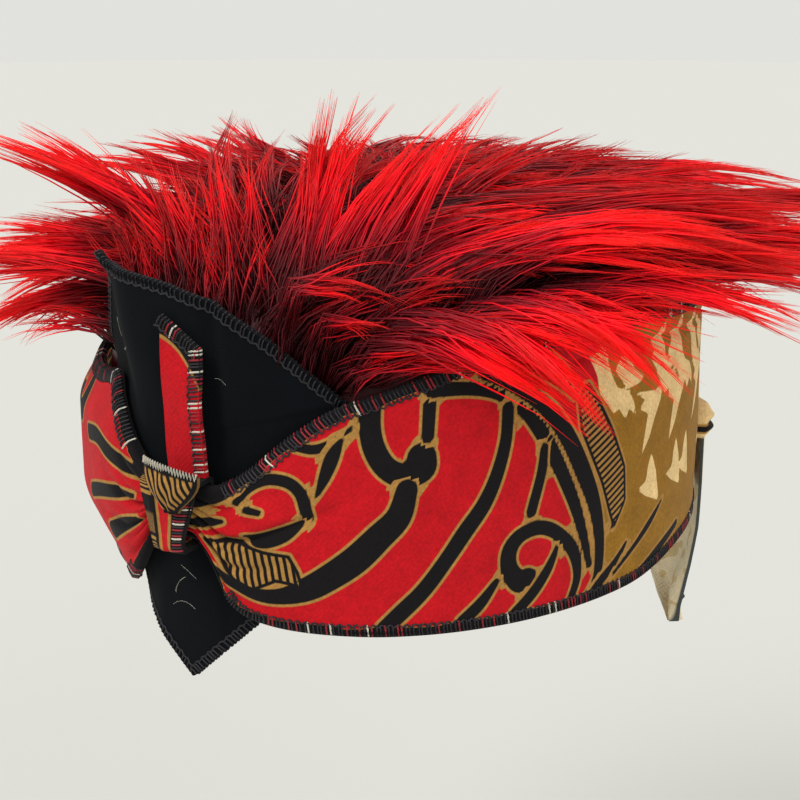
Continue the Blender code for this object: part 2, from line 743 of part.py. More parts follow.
def make_rear_knot():
    """The small folded knot on the band's rear quarter."""
    rows, across = 7, 7
    outer, inner = [], []
    for i in range(across):
        side = 2 * i / (across - 1) - 1
        outer_column, inner_column = [], []
        for j in range(rows):
            rise = 2 * j / (rows - 1) - 1
            dome = math.sqrt(max(0.0, 1 - 0.9 * side * side)) * math.sqrt(1 - 0.9 * rise * rise)
            pinch = 1.4 * MM * max(0.0, 1 - abs(rise) / 0.34)
            degrees = REAR_TIE_ANGLE + 5.2 * side * (1 - 0.25 * rise * rise)
            height = REAR_TIE_HEIGHT + 4.8 * MM * rise
            seat = PIECE_GAP + 0.2 * MM
            face = seat + 1.2 * MM + 4.6 * MM * dome - pinch * dome
            outer_column.append(wall_point(degrees, face, height))
            inner_column.append(wall_point(degrees, seat, height))
        outer.append(outer_column)
        inner.append(inner_column)
    return add_sheet("rear_knot", outer, inner, False, cloth_material("tie", CLOTH_GOLD, 0.85))


def make_rear_tail():
    """The free end of the tie: it hangs from the rear knot, below the band's rim."""
    columns, rows = 5, 13
    first, last = REAR_TAIL_SECTIONS[0].height, REAR_TAIL_SECTIONS[-1].height
    outer, inner = [], []
    for i in range(columns):
        side = 2 * i / (columns - 1) - 1
        outer_column, inner_column = [], []
        for j in range(rows):
            share = j / (rows - 1)
            height = blend(last, first, share)
            centre = line_value(REAR_TAIL_SECTIONS, "centre", height)
            half = line_value(REAR_TAIL_SECTIONS, "half_width", height) * MM
            angle = math.radians(centre)
            spoke = math.hypot(
                BAND_HALF_WIDTH * math.cos(angle), BAND_HALF_LENGTH * math.sin(angle)
            )
            degrees = centre + math.degrees(half * side / spoke)
            ripple = 1.3 * MM * math.sin(math.pi * (side * 1.4 + 0.3)) * ease(1.0 - share)
            behind = PIECE_GAP + 0.2 * MM + 1.4 * MM + ripple
            inner_column.append(wall_point(degrees, behind, height * MM))
            outer_column.append(wall_point(degrees, behind + REAR_TAIL_WALL, height * MM))
        outer.append(outer_column)
        inner.append(inner_column)
    material = cloth_material("tail_cream", CLOTH_CREAM, 0.85)
    return add_sheet("rear_tail", outer, inner, False, material)


def main():
    """Build every piece of the udeng."""
    clear_scene()
    make_band()
    make_front_panel()
    make_knot_wrap()
    make_knot_fold()
    make_knot_tail()
    make_crown_cloth()
    make_fur()
    make_rear_knot()
    make_rear_tail()


main()
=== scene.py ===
"""Looks of a balinese udeng: batik band, felt panel, front knot, fur crown and rear tie.

Lengths are metres, and names or columns in millimetres say so. Places round the head are degrees:
0 at the front and 90 at the wearer's left. The front is -Y and up is +Z.
"""

import logging
import math
import random
from dataclasses import dataclass
from enum import Enum, IntEnum
from typing import Callable, NamedTuple

import bpy
import numpy as np
from bpy.types import Material, Node, NodeSocket, NodeTree, Object
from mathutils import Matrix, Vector
from numpy import ndarray


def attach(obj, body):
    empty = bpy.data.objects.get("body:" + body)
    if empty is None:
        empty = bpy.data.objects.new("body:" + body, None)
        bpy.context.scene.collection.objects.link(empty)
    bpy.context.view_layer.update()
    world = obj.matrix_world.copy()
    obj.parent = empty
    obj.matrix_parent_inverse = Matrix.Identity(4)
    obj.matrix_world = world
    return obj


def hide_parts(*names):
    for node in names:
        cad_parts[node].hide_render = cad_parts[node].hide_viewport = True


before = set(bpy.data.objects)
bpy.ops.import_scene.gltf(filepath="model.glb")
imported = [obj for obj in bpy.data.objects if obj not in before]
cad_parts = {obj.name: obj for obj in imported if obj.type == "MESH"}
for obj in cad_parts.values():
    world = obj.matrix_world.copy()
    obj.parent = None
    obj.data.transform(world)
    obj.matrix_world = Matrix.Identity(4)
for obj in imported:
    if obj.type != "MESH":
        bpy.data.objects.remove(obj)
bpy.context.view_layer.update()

MM = 0.001
BODY = "root"
log = logging.getLogger("udeng")


class BandRow(NamedTuple):
    """One section of the band, in degrees and millimetres."""

    degrees: float
    bottom: float
    top: float
    low_tuck: float = 0.0
    high_tuck: float = 0.0


BAND_ROWS: tuple[BandRow, ...] = tuple(BandRow(*row) for row in (
    (-180, 5, 72), (-115, 3, 72.5), (-85, 0.5, 67, 1.5, 4), (-58, 0.2, 59, 5, 7), (-40, 0.6, 57, 8.5, 6),
    (-28, 1, 58, 9, 4.5), (-20, 2.2, 60, 6.5, 3.5), (-14, 6, 54, 3, 1), (-10, 10.5, 46, 1),
    (-6, 18.5, 40.5), (-3.5, 24, 38.1), (0, 24.5, 38), (4.5, 24.3, 38), (7, 19.5, 38.1), (10.5, 8, 40),
    (14.5, 4.2, 44), (21, 2.2, 52.5), (29, 1.3, 60), (36, 0.8, 63.5), (48, 0.5, 70), (60, 0.4, 74),
    (80, 0.5, 75.3), (100, 3.5, 73.5), (130, 5, 72.5), (180, 5, 72),
))


class GatherFold(NamedTuple):
    """A fold that runs out from the knot at one share of the band's height."""

    share: float
    half_width: float
    depth: float
    left_reach: float
    right_reach: float


GATHER_FOLDS: tuple[GatherFold, ...] = tuple(GatherFold(*row) for row in (
    (0.13, 0.06, 2.2, 18, 18), (0.25, 0.04, 1, 15, 16), (0.36, 0.05, 2.4, 24, 26),
    (0.46, 0.035, 1, 17, 15), (0.56, 0.05, 3.4, 44, 22), (0.68, 0.04, 1.1, 18, 17),
    (0.8, 0.06, 2.4, 20, 16), (0.9, 0.035, 0.9, 14, 13),
))


class FeltRow(NamedTuple):
    """One section of the felt panel, in degrees and millimetres."""

    degrees: float
    bottom: float
    top: float


FELT_ROWS: tuple[FeltRow, ...] = tuple(FeltRow(*row) for row in (
    (-28, 22, 67), (-24.5, 16, 80), (-19.5, 9, 90.5), (-17.5, 6, 92.5), (-15, 2.5, 90.6),
    (-3, -12, 88.5), (0.5, -16.4, 87.6), (7.5, -7, 84.3), (18, 7, 74.4), (30, 23, 60), (42, 38, 44),
))


class TailRow(NamedTuple):
    """One section of the rear tail: height and half width in millimetres, centre in degrees."""

    height: float
    centre: float
    half_width: float


TAIL_ROWS: tuple[TailRow, ...] = tuple(TailRow(*row) for row in (
    (-49, 137.5, 0.8), (-43, 140.5, 7), (-37, 141.5, 12), (-24, 137, 13), (-8, 131.5, 12), (8, 128, 9.5),
    (21.6, 126, 5.5),
))


class FurRow(NamedTuple):
    """A row of fur locks: roots on one ring of the crown, between two angles."""

    ring: float
    start: float
    end: float
    count: int
    length_mm: float
    first_heading: float
    last_heading: float
    lift: float
    droop: float
    turn: float
    # Painted light above 0 and painted shade below 0, on the colour of the row's strands
    bright: float = 0.0


# The last column is painted light and shade: lighter on the front locks and fringe, darker behind the crest, on
# the top and in the middle
FUR_ROWS: dict[str, FurRow] = {
    "forelock_low": FurRow(0.92, -66, -36, 5, 50, -72, -54, 6, -36, 6, 0.15),
    "forelock_mid": FurRow(0.86, -56, -20, 6, 56, -68, -52, 18, -10, 6, 0.12),
    "forelock_high": FurRow(0.74, -46, -10, 5, 60, -78, -58, 38, 18, 8, 0.1),
    "crest_right": FurRow(0.86, -18, 10, 6, 46, -92, -140, 56, 34, 10, 0.05),
    "crest_left": FurRow(0.88, 12, 34, 6, 70, -164, -204, 60, 36, -18, 0.12),
    "crest_back": FurRow(0.66, -20, 44, 6, 58, -122, -196, 34, 10, -10, -0.25),
    "sweep_front": FurRow(0.9, 24, 46, 6, 84, 158, 132, 38, -20, -26, 0.4),
    "fringe_front": FurRow(0.93, 28, 52, 6, 62, 92, 98, 22, -50, 18, 0.3),
    "fringe_left": FurRow(0.93, 54, 96, 7, 70, 110, 116, 18, -20, 6, 0.12),
    "side_low": FurRow(0.82, 34, 96, 7, 84, 126, 118, 16, -14, -4),
    "side_high": FurRow(0.66, 26, 110, 6, 92, 134, 120, 18, -16, -4, -0.06),
    "top_left": FurRow(0.44, 10, 150, 6, 90, 138, 124, 16, -16, -4, -0.12),
    "rear_left": FurRow(0.9, 100, 150, 6, 62, 118, 146, 8, -24, 4),
    "rear": FurRow(0.88, 156, 214, 7, 64, 152, 200, 10, -26, 6),
    "top_back": FurRow(0.56, 150, 236, 6, 72, 144, 200, 12, -18, 4, -0.1),
    "rear_right": FurRow(0.9, 220, 268, 6, 62, 206, 252, 10, -26, 6),
    "middle_right": FurRow(0.72, 196, 262, 5, 64, 184, 240, 12, -20, 6),
    "middle": FurRow(0.24, 70, 290, 5, 72, 126, 206, 14, -14, 4, -0.2),
    "side_right": FurRow(0.9, -90, -66, 4, 58, -92, -78, 10, -18, 6),
    "top_right": FurRow(0.52, -110, -36, 6, 66, -116, -82, 22, -6, 6),
}


# Short strands that close the fur at its rim, where the solid part's locks start
RIM_ROWS: dict[str, FurRow] = {
    # rim_felt and rim_whorl lie beside the felt panel and are painted darker: painted shade
    "rim_felt": FurRow(0.93, -26, 14, 10, 36, -100, -150, 66, 44, 10, -0.3),
    "rim_whorl": FurRow(0.96, 10, 32, 8, 44, 150, 122, 44, -10, -16, -0.3),
    "rim_left": FurRow(0.975, 24, 60, 12, 44, 114, 106, 26, -36, 8, 0.1),
    "rim_edge": FurRow(0.99, 16, 62, 14, 26, 122, 104, 40, -30, 8, -0.1),
    "rim_side": FurRow(0.98, 56, 150, 24, 30, 112, 146, 28, -24, 6),
    "rim_rear": FurRow(0.98, 150, 232, 18, 32, 150, 226, 24, -34, 6),
    "rim_right": FurRow(0.98, 228, 334, 24, 34, 214, 292, 24, -28, 6),
}
# Short strands over the whole crown, painted dark as the shade under the long locks: each ring, and its share
# of the rim's strands
COVER_RINGS: tuple[tuple[float, float], ...] = (
    (0.86, 0.5), (0.68, 0.4), (0.5, 0.32), (0.3, 0.2), (0.14, 0.12), (0.03, 0.08),
)


def ease(value: ndarray | float) -> ndarray:
    """Smooth step from 0 to 1."""
    held = np.clip(value, 0.0, 1.0)
    return held * held * (3.0 - 2.0 * held)


def blend(first: ndarray | float, last: ndarray | float, share: ndarray | float) -> ndarray:
    """Linear mix of two values."""
    return first + (last - first) * share


def unit(vectors: ndarray) -> ndarray:
    """The vectors at length 1."""
    return vectors / np.maximum(np.linalg.norm(vectors, axis=-1, keepdims=True), 1e-12)


def through(a: ndarray, b: ndarray, c: ndarray, d: ndarray, t: ndarray) -> ndarray:
    """Points between b and c, at t from 0 to 1, of a soft curve through four points."""
    return 0.5 * (2 * b + (c - a) * t + (2 * a - 5 * b + 4 * c - d) * t**2 + (3 * b - a - 3 * c + d) * t**3)


def linear(hex_colour: str) -> tuple[float, float, float, float]:
    """Turn an sRGB hex colour into linear red, green, blue and alpha.

    Args:
        hex_colour: A colour such as "#c8141e".

    Returns:
        The linear colour with alpha 1.
    """
    parts = [int(hex_colour[i : i + 2], 16) / 255 for i in (1, 3, 5)]
    flat = [p / 12.92 if p <= 0.04045 else ((p + 0.055) / 1.055) ** 2.4 for p in parts]
    return (*flat, 1.0)


@dataclass(frozen=True)
class Curve:
    """A curve through a table's rows, smooth or straight between them."""

    places: tuple[float, ...]
    values: tuple[float, ...]
    straight: bool = False

    def at(self, where: ndarray | float) -> ndarray:
        """Read the curve.

        Args:
            where: Places along the table's first column.

        Returns:
            The curve's value at each place.
        """
        x, y = np.array(self.places, float), np.array(self.values, float)
        spot = np.clip(np.asarray(where, float), x[0], x[-1])
        if self.straight:
            return np.interp(spot, x, y)
        gap = np.diff(x)
        rise = np.diff(y) / gap
        before, after = rise[:-1], rise[1:]
        same_way = before * after > 0
        total = np.where(same_way, before + after, 1.0)
        slope = np.concatenate(([0.0], np.where(same_way, 2 * before * after / total, 0.0), [0.0]))
        i = np.clip(np.searchsorted(x, spot, side="right") - 1, 0, len(gap) - 1)
        t = (spot - x[i]) / gap[i]
        return (
            y[i] * (1 + 2 * t) * (1 - t) ** 2
            + slope[i] * gap[i] * t * (1 - t) ** 2
            + y[i + 1] * t * t * (3 - 2 * t)
            + slope[i + 1] * gap[i] * t * t * (t - 1)
        )


def column(rows: tuple, name: str, straight: bool = False) -> Curve:
    """A named column of a table as a curve over its first column."""
    return Curve(tuple(r[0] for r in rows), tuple(getattr(r, name) for r in rows), straight)


@dataclass(frozen=True)
class HeadOval:
    """The oval that the band's outer face follows."""

    half_length: float = 100 * MM
    half_width: float = 86 * MM

    def normal(self, degrees: ndarray) -> ndarray:
        """Outward directions at angles round the head.

        Args:
            degrees: Angles round the head.

        Returns:
            Unit vectors.
        """
        angle = np.radians(degrees)
        x, y = np.sin(angle) / self.half_width, -np.cos(angle) / self.half_length
        return unit(np.stack([x, y, np.zeros_like(x)], -1))

    def point(self, degrees: ndarray, offset: ndarray, height: ndarray) -> ndarray:
        """Points beside the oval.

        Args:
            degrees: Angles round the head.
            offset: Distances out from the oval.
            height: Heights above the lower rim's plane.

        Returns:
            An array of points.
        """
        degrees, offset, height = np.broadcast_arrays(degrees, offset, height)
        angle = np.radians(degrees)
        base = np.stack(
            [self.half_width * np.sin(angle), -self.half_length * np.cos(angle), height], -1
        )
        return base + self.normal(degrees) * offset[..., None]

    def arc_mm(self, degrees: ndarray) -> ndarray:
        """Length along the oval from the front, in millimetres, negative on the wearer's right.

        Args:
            degrees: Angles round the head.

        Returns:
            Lengths.
        """
        angles = np.radians(np.arange(-360.0, 360.5, 0.5))
        steps = np.hypot(self.half_width * np.cos(angles), self.half_length * np.sin(angles))
        runs = np.concatenate(([0.0], np.cumsum((steps[1:] + steps[:-1]) / 2 * np.diff(angles))))
        runs -= np.interp(0.0, angles, runs)
        return np.interp(np.radians(degrees), angles, runs) / MM

    def angle_of(self, points: ndarray) -> ndarray:
        """Angles round the head of points."""
        return np.degrees(
            np.arctan2(points[..., 0] / self.half_width, -points[..., 1] / self.half_length)
        )

    def offset_of(self, points: ndarray) -> ndarray:
        """How far points lie outside the oval.

        Args:
            points: The points.

        Returns:
            Distances.
        """
        x, y = points[..., 0], points[..., 1]
        level = np.hypot(x / self.half_width, y / self.half_length)
        slope = np.hypot(x / self.half_width**2, y / self.half_length**2)
        return np.where(level < 1e-6, -self.half_width, (level - 1) * level / np.maximum(slope, 1e-9))


def wrapped(degrees: ndarray) -> ndarray:
    """Angles brought between -180 and 180."""
    return (np.asarray(degrees) + 180.0) % 360.0 - 180.0


@dataclass(frozen=True)
class BandShape:
    """The band's cloth on the oval: its edges, its tucks and its gathers."""

    oval: HeadOval = HeadOval()
    wall: float = 2.2 * MM
    bunch: float = 3.4 * MM
    stand_off: float = 2.2 * MM
    bunch_reach: float = 13.0
    stand_off_reach: float = 22.0
    low_tuck_height: float = 24 * MM
    high_tuck_start: float = 44 * MM
    high_tuck_height: float = 16 * MM
    seam_drop_mm: float = 8.0
    seam_depth: float = 1.1 * MM

    def edge(self, name: str, degrees: ndarray) -> ndarray:
        """A column of the band's sections at angles, in metres."""
        return column(BAND_ROWS, name).at(wrapped(degrees)) * MM

    def tuck(self, degrees: ndarray, height: ndarray) -> ndarray:
        """How far the cloth is drawn in near its lower and upper edges.

        Args:
            degrees: Angles round the head.
            height: Heights in metres.

        Returns:
            Distances.
        """
        low = self.edge("low_tuck", degrees) * ease(1 - height / self.low_tuck_height)
        high = self.edge("high_tuck", degrees)
        return low + high * ease((height - self.high_tuck_start) / self.high_tuck_height)

    def folds(self, degrees: ndarray, share: ndarray) -> ndarray:
        """Depth of the gather folds, each with a sharp crease at its bottom.

        Args:
            degrees: Angles round the head.
            share: Shares of the height.

        Returns:
            Depths.
        """
        depth = np.zeros(np.broadcast(degrees, share).shape)
        for fold in GATHER_FOLDS:
            reach = np.where(degrees > 0, fold.left_reach, fold.right_reach)
            along = ease(1 - np.abs(degrees) / reach)
            across = np.clip(1 - np.abs(share - fold.share) / fold.half_width, 0, 1)
            depth = depth + fold.depth * MM * along * across**1.5
        return depth

    def slack(self, degrees: ndarray, share: ndarray) -> ndarray:
        """Slight unevenness of cloth that isn't stretched tight.

        Args:
            degrees: Angles round the head.
            share: Shares of the height.

        Returns:
            Distances.
        """
        arc = np.radians(degrees)
        waves = np.sin(9 * arc + 5 * share) + 0.6 * np.sin(17 * arc - 8 * share + 1.3)
        return 0.22 * MM * waves * np.sin(math.pi * np.clip(share, 0, 1))

    def face(self, degrees: ndarray, share: ndarray) -> ndarray:
        """Offset of the band's outer face from the oval, at shares of its height.

        Args:
            degrees: Angles round the head.
            share: Shares of the height.

        Returns:
            Offsets.
        """
        turn = wrapped(degrees)
        bottom, top = self.edge("bottom", turn), self.edge("top", turn)
        height = blend(bottom, top, share)
        arch = np.sin(math.pi * np.clip(share, 0, 1)) ** 0.6
        close = ease(1 - np.abs(turn) / self.bunch_reach)
        wide = ease(1 - np.abs(np.abs(turn) - 13.0) / 20.0)
        puff = self.stand_off * ease(1 - np.abs(turn) / self.stand_off_reach)
        swell = (1.8 * MM * close + 2.6 * MM * wide) * arch
        out = np.maximum(0.0, puff + swell - self.folds(turn, share))
        seam = (top - height) / MM - self.seam_drop_mm
        groove = self.seam_depth * np.exp(-((seam / 0.9) ** 2)) * ease((turn - 62) / 8)
        groove = groove * ease((150 - turn) / 20)
        far = ease((np.abs(turn) - 20) / 30)
        return out - self.tuck(turn, height) - groove + self.slack(turn, share) * far

    def back(self, degrees: ndarray, share: ndarray, face: ndarray) -> ndarray:
        """Offset of the band's inner face.

        Args:
            degrees: Angles round the head.
            share: Shares of the height.
            face: Offsets of the outer face.

        Returns:
            Offsets.
        """
        turn = wrapped(degrees)
        height = blend(self.edge("bottom", turn), self.edge("top", turn), share)
        arch = np.sin(math.pi * np.clip(share, 0, 1)) ** 0.6
        bunch = self.bunch * ease(1 - np.abs(turn) / self.bunch_reach)
        floor = -self.wall - self.tuck(turn, height)
        floor = floor + self.stand_off * ease(1 - np.abs(turn) / self.stand_off_reach)
        return np.maximum(face - self.wall - bunch * arch, floor)


@dataclass(frozen=True)
class FeltShape:
    """Where the felt panel lies: behind the band, and leaning out above it."""

    band: BandShape = BandShape()
    gap: float = 0.55 * MM
    wall: float = 2.0 * MM
    lean_start: float = 3 * MM
    lean: float = 0.16
    shy: float = 0.27

    def top(self, degrees: ndarray) -> ndarray:
        """Height of the panel's upper edge."""
        return column(FELT_ROWS, "top", True).at(degrees) * MM

    def bottom(self, degrees: ndarray) -> ndarray:
        """Height of the panel's lower edge."""
        return column(FELT_ROWS, "bottom", True).at(degrees) * MM

    def offset(self, degrees: ndarray, height: ndarray) -> ndarray:
        """Offset of the felt's outer face from the oval.

        Args:
            degrees: Angles round the head.
            height: Heights in metres.

        Returns:
            Offsets.
        """
        band = self.band
        behind = -band.wall - self.gap - (1 + self.shy) * band.tuck(degrees, height)
        lean = self.lean * blend(0.2, 1.0, ease((20.0 - degrees) / 38.0))
        start = np.maximum(band.edge("top", degrees), band.high_tuck_start) + self.lean_start
        return behind + lean * np.maximum(0.0, height - start)


def mesh_piece(
    name: str,
    points: ndarray,
    faces: list[ndarray],
    material: Material,
    values: dict[str, ndarray] | None = None,
    smooth_degrees: float = 50.0,
) -> Object:
    """Make one object from arrays and seat it on the root body.

    Args:
        name: The piece's name.
        points: Its points, one row each.
        faces: Arrays of point numbers, each with faces of one corner count.
        material: Its finish.
        values: Numbers or vectors stored at the points for the finish to read.
        smooth_degrees: Edges sharper than this stay sharp.

    Returns:
        The new object.
    """
    mesh = bpy.data.meshes.new(name)
    loops = np.concatenate([f.ravel() for f in faces]).astype(np.int32)
    sizes = np.concatenate([np.full(len(f), f.shape[1]) for f in faces])
    starts = np.concatenate(([0], np.cumsum(sizes)[:-1])).astype(np.int32)
    mesh.vertices.add(len(points))
    mesh.vertices.foreach_set("co", np.ascontiguousarray(points, np.float32).ravel())
    mesh.loops.add(len(loops))
    mesh.loops.foreach_set("vertex_index", loops)
    mesh.polygons.add(len(starts))
    mesh.polygons.foreach_set("loop_start", starts)
    mesh.update(calc_edges=True)
    for label, value in (values or {}).items():
        kind = "FLOAT" if value.ndim == 1 else "FLOAT_VECTOR"
        stored = mesh.attributes.new(label, kind, "POINT")
        stored.data.foreach_set("value" if value.ndim == 1 else "vector", value.astype(np.float32).ravel())
    mesh.materials.append(material)
    mesh.shade_smooth()
    mesh.set_sharp_from_angle(angle=math.radians(smooth_degrees))
    piece = bpy.data.objects.new(name, mesh)
    bpy.context.scene.collection.objects.link(piece)
    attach(piece, BODY)
    return piece


def sheet_faces(columns: int, rows: int, closed: bool) -> ndarray:
    """Quads of a cloth wall: an outer grid, an inner grid and the strips that join them.

    Args:
        columns: Columns of each grid.
        rows: Points in each column.
        closed: Whether the last column joins the first.

    Returns:
        Rows of four point numbers.
    """
    grid = np.arange(columns * rows).reshape(columns, rows)
    if closed:
        grid = np.vstack([grid, grid[:1]])
    inner = grid + columns * rows
    a, b, c, d = grid[:-1, :-1], grid[1:, :-1], grid[1:, 1:], grid[:-1, 1:]
    ia, ib, ic, id_ = inner[:-1, :-1], inner[1:, :-1], inner[1:, 1:], inner[:-1, 1:]
    quads = [np.stack([a, b, c, d], -1), np.stack([id_, ic, ib, ia], -1)]
    low = np.stack([inner[:-1, 0], inner[1:, 0], grid[1:, 0], grid[:-1, 0]], -1)
    high = np.stack([grid[:-1, -1], grid[1:, -1], inner[1:, -1], inner[:-1, -1]], -1)
    quads += [low, high]
    if not closed:
        quads.append(np.stack([inner[0, 1:], inner[0, :-1], grid[0, :-1], grid[0, 1:]], -1))
        quads.append(np.stack([grid[-1, 1:], grid[-1, :-1], inner[-1, :-1], inner[-1, 1:]], -1))
    return np.concatenate([q.reshape(-1, 4) for q in quads])


def sheet_piece(
    name: str,
    outer: ndarray,
    inner: ndarray,
    closed: bool,
    material: Material,
    values: dict[str, ndarray],
) -> Object:
    """A cloth wall from two matching grids of points.

    Args:
        name: The piece's name.
        outer: Points of the outer face, columns by rows.
        inner: Points of the inner face.
        closed: Whether the wall runs all the way round.
        material: Its finish.
        values: Grids of numbers or vectors for the finish, used on both faces.

    Returns:
        The new object.
    """
    columns, rows = outer.shape[:2]
    points = np.concatenate([outer.reshape(-1, 3), inner.reshape(-1, 3)])
    doubled = {}
    for label, grid in values.items():
        flat = grid.reshape(columns * rows, *grid.shape[2:])
        doubled[label] = np.concatenate([flat, flat])
    return mesh_piece(name, points, [sheet_faces(columns, rows, closed)], material, doubled)


def tubes(
    paths: ndarray, radii: ndarray, sides: int, over: ndarray | None = None, flat: float = 1.0
) -> tuple[ndarray, list[ndarray]]:
    """Many closed tubes at once, such as threads or strands.

    Args:
        paths: Middle lines, tubes by points by three.
        radii: Radius at each point of each tube.
        sides: Sides of a tube.
        over: Which way each tube's second axis leans, up where it isn't given.
        flat: Thickness along the second axis as a share of the width.

    Returns:
        The points and the lists of faces.
    """
    count, length = paths.shape[:2]
    along = unit(np.gradient(paths, axis=1))
    lean = np.array([0.0, 0.0, 1.0]) if over is None else over[:, None, :]
    side = np.cross(along, np.broadcast_to(lean, along.shape))
    thin = np.linalg.norm(side, axis=-1, keepdims=True) < 1e-3
    side = unit(np.where(thin, np.cross(along, np.array([0.9, 0.3, 0.1])), side))
    lift = np.cross(along, side)
    turn = 2 * math.pi * np.arange(sides) / sides
    ring = (
        side[:, :, None] * np.cos(turn)[None, None, :, None]
        + lift[:, :, None] * (np.sin(turn) * flat)[None, None, :, None]
    )
    points = paths[:, :, None] + radii[:, :, None, None] * ring
    index = np.arange(count * length * sides).reshape(count, length, sides)
    a, b = index[:, :-1], index[:, 1:]
    quads = np.stack([a, np.roll(a, -1, 2), np.roll(b, -1, 2), b], -1).reshape(-1, 4)
    caps = np.concatenate([index[:, 0, ::-1], index[:, -1]])
    return points.reshape(-1, 3), [quads, caps]


class Edge(NamedTuple):
    """Where a printed shape ends: the distance that tells it, the edge's place and half its softness."""

    distance: NodeSocket
    place_mm: float = 0.0
    soft_mm: float = 0.14


def fill(tree: NodeTree, node: Node, inputs: dict) -> None:
    """Set a node's inputs, or link them.

    Args:
        tree: The node's tree.
        node: The node.
        inputs: Values or other nodes' sockets, by the input's name or number.
    """
    for name, value in inputs.items():
        if isinstance(value, NodeSocket):
            tree.links.new(value, node.inputs[name])
        else:
            node.inputs[name].default_value = value


def add_node(
    tree: NodeTree, kind: str, inputs: dict | None = None, **settings: object
) -> Node:
    """Add a node, set it and link it.

    Args:
        tree: The tree that it joins.
        kind: The node's type name.
        inputs: Values or other nodes' sockets, by the input's name or number.
        **settings: Properties of the node.

    Returns:
        The new node.
    """
    node = tree.nodes.new(kind)
    for name, value in settings.items():
        setattr(node, name, value)
    fill(tree, node, inputs or {})
    return node


def new_material(name: str) -> tuple[Material, NodeTree, Node]:
    """Start a material.

    Args:
        name: Its name.

    Returns:
        The material, its tree and its Principled shader.
    """
    material = bpy.data.materials.new(name)
    material.use_nodes = True
    tree = material.node_tree
    return material, tree, tree.nodes["Principled BSDF"]


def printed(
    tree: NodeTree,
    under: NodeSocket | tuple,
    over: NodeSocket | tuple,
    *edges: Edge,
) -> NodeSocket:
    """Print one colour over another, with the ink fading a little into the cloth at its edge.

    Args:
        tree: The tree to add to.
        under: The lower colour.
        over: The upper colour, which shows inside every edge.
        *edges: The edges of the printed shape.

    Returns:
        The printed colour's socket.
    """
    share = None
    for edge in edges:
        limits = {
            "Value": edge.distance, "From Min": edge.place_mm - edge.soft_mm,
            "From Max": edge.place_mm + edge.soft_mm, "To Min": 1.0, "To Max": 0.0,
        }
        within = add_node(tree, "ShaderNodeMapRange", limits).outputs["Result"]
        if share is not None:
            both = add_node(tree, "ShaderNodeMath", {0: share, 1: within}, operation="MULTIPLY")
            within = both.outputs[0]
        share = within
    return add_node(tree, "ShaderNodeMix", {0: share, 6: under, 7: over}, data_type="RGBA").outputs[2]


def shaded(
    tree: NodeTree,
    colour: NodeSocket,
    value: NodeSocket,
    span: tuple[float, float],
    depth: tuple[float, float],
) -> NodeSocket:
    """Darken or lighten a colour by a value that changes over the surface.

    Args:
        tree: The tree to add to.
        colour: The colour.
        value: The value.
        span: The values for the darkest and the lightest.
        depth: The darkest and the lightest factor.

    Returns:
        The shaded colour's socket.
    """
    limits = dict(zip(("From Min", "From Max", "To Min", "To Max"), (*span, *depth)))
    factor = add_node(tree, "ShaderNodeMapRange", {"Value": value, **limits}).outputs["Result"]
    grey = add_node(tree, "ShaderNodeCombineColor", {i: factor for i in range(3)}).outputs[0]
    inputs = {0: 1.0, 6: colour, 7: grey}
    return add_node(tree, "ShaderNodeMix", inputs, data_type="RGBA", blend_type="MULTIPLY").outputs[2]


def mottled(
    tree: NodeTree, colour: NodeSocket, spot_mm: float, low: float, high: float
) -> NodeSocket:
    """Vary a colour's depth in soft spots, as dye, wear or lint does.

    Args:
        tree: The tree to add to.
        colour: The colour to vary.
        spot_mm: Size of the spots.
        low: Darkest factor.
        high: Lightest factor.

    Returns:
        The varied colour's socket.
    """
    place = add_node(tree, "ShaderNodeTexCoord").outputs["Object"]
    noise = add_node(
        tree, "ShaderNodeTexNoise", {"Vector": place, "Scale": 1 / (spot_mm * MM), "Detail": 3.0}
    )
    return shaded(tree, colour, noise.outputs["Fac"], (0.3, 0.7), (low, high))


def woven(
    tree: NodeTree, place: NodeSocket, thread_mm: float, rise_mm: float
) -> NodeSocket:
    """A plain weave as a bump.

    Args:
        tree: The tree to add to.
        place: Place on the cloth, in millimetres.
        thread_mm: Spacing of the threads.
        rise_mm: Height of a thread over its neighbours.

    Returns:
        The bumped normal's socket.
    """
    split = add_node(tree, "ShaderNodeSeparateXYZ", {0: place})
    waves = []
    for axis in ("X", "Y"):
        turns = {0: split.outputs[axis], 1: math.pi / thread_mm}
        turned = add_node(tree, "ShaderNodeMath", turns, operation="MULTIPLY").outputs[0]
        waves.append(add_node(tree, "ShaderNodeMath", {0: turned}, operation="SINE").outputs[0])
    weave = add_node(tree, "ShaderNodeMath", dict(enumerate(waves)), operation="MULTIPLY").outputs[0]
    heights = {"Height": weave, "Distance": rise_mm * MM, "Strength": 0.8}
    return add_node(tree, "ShaderNodeBump", heights).outputs["Normal"]


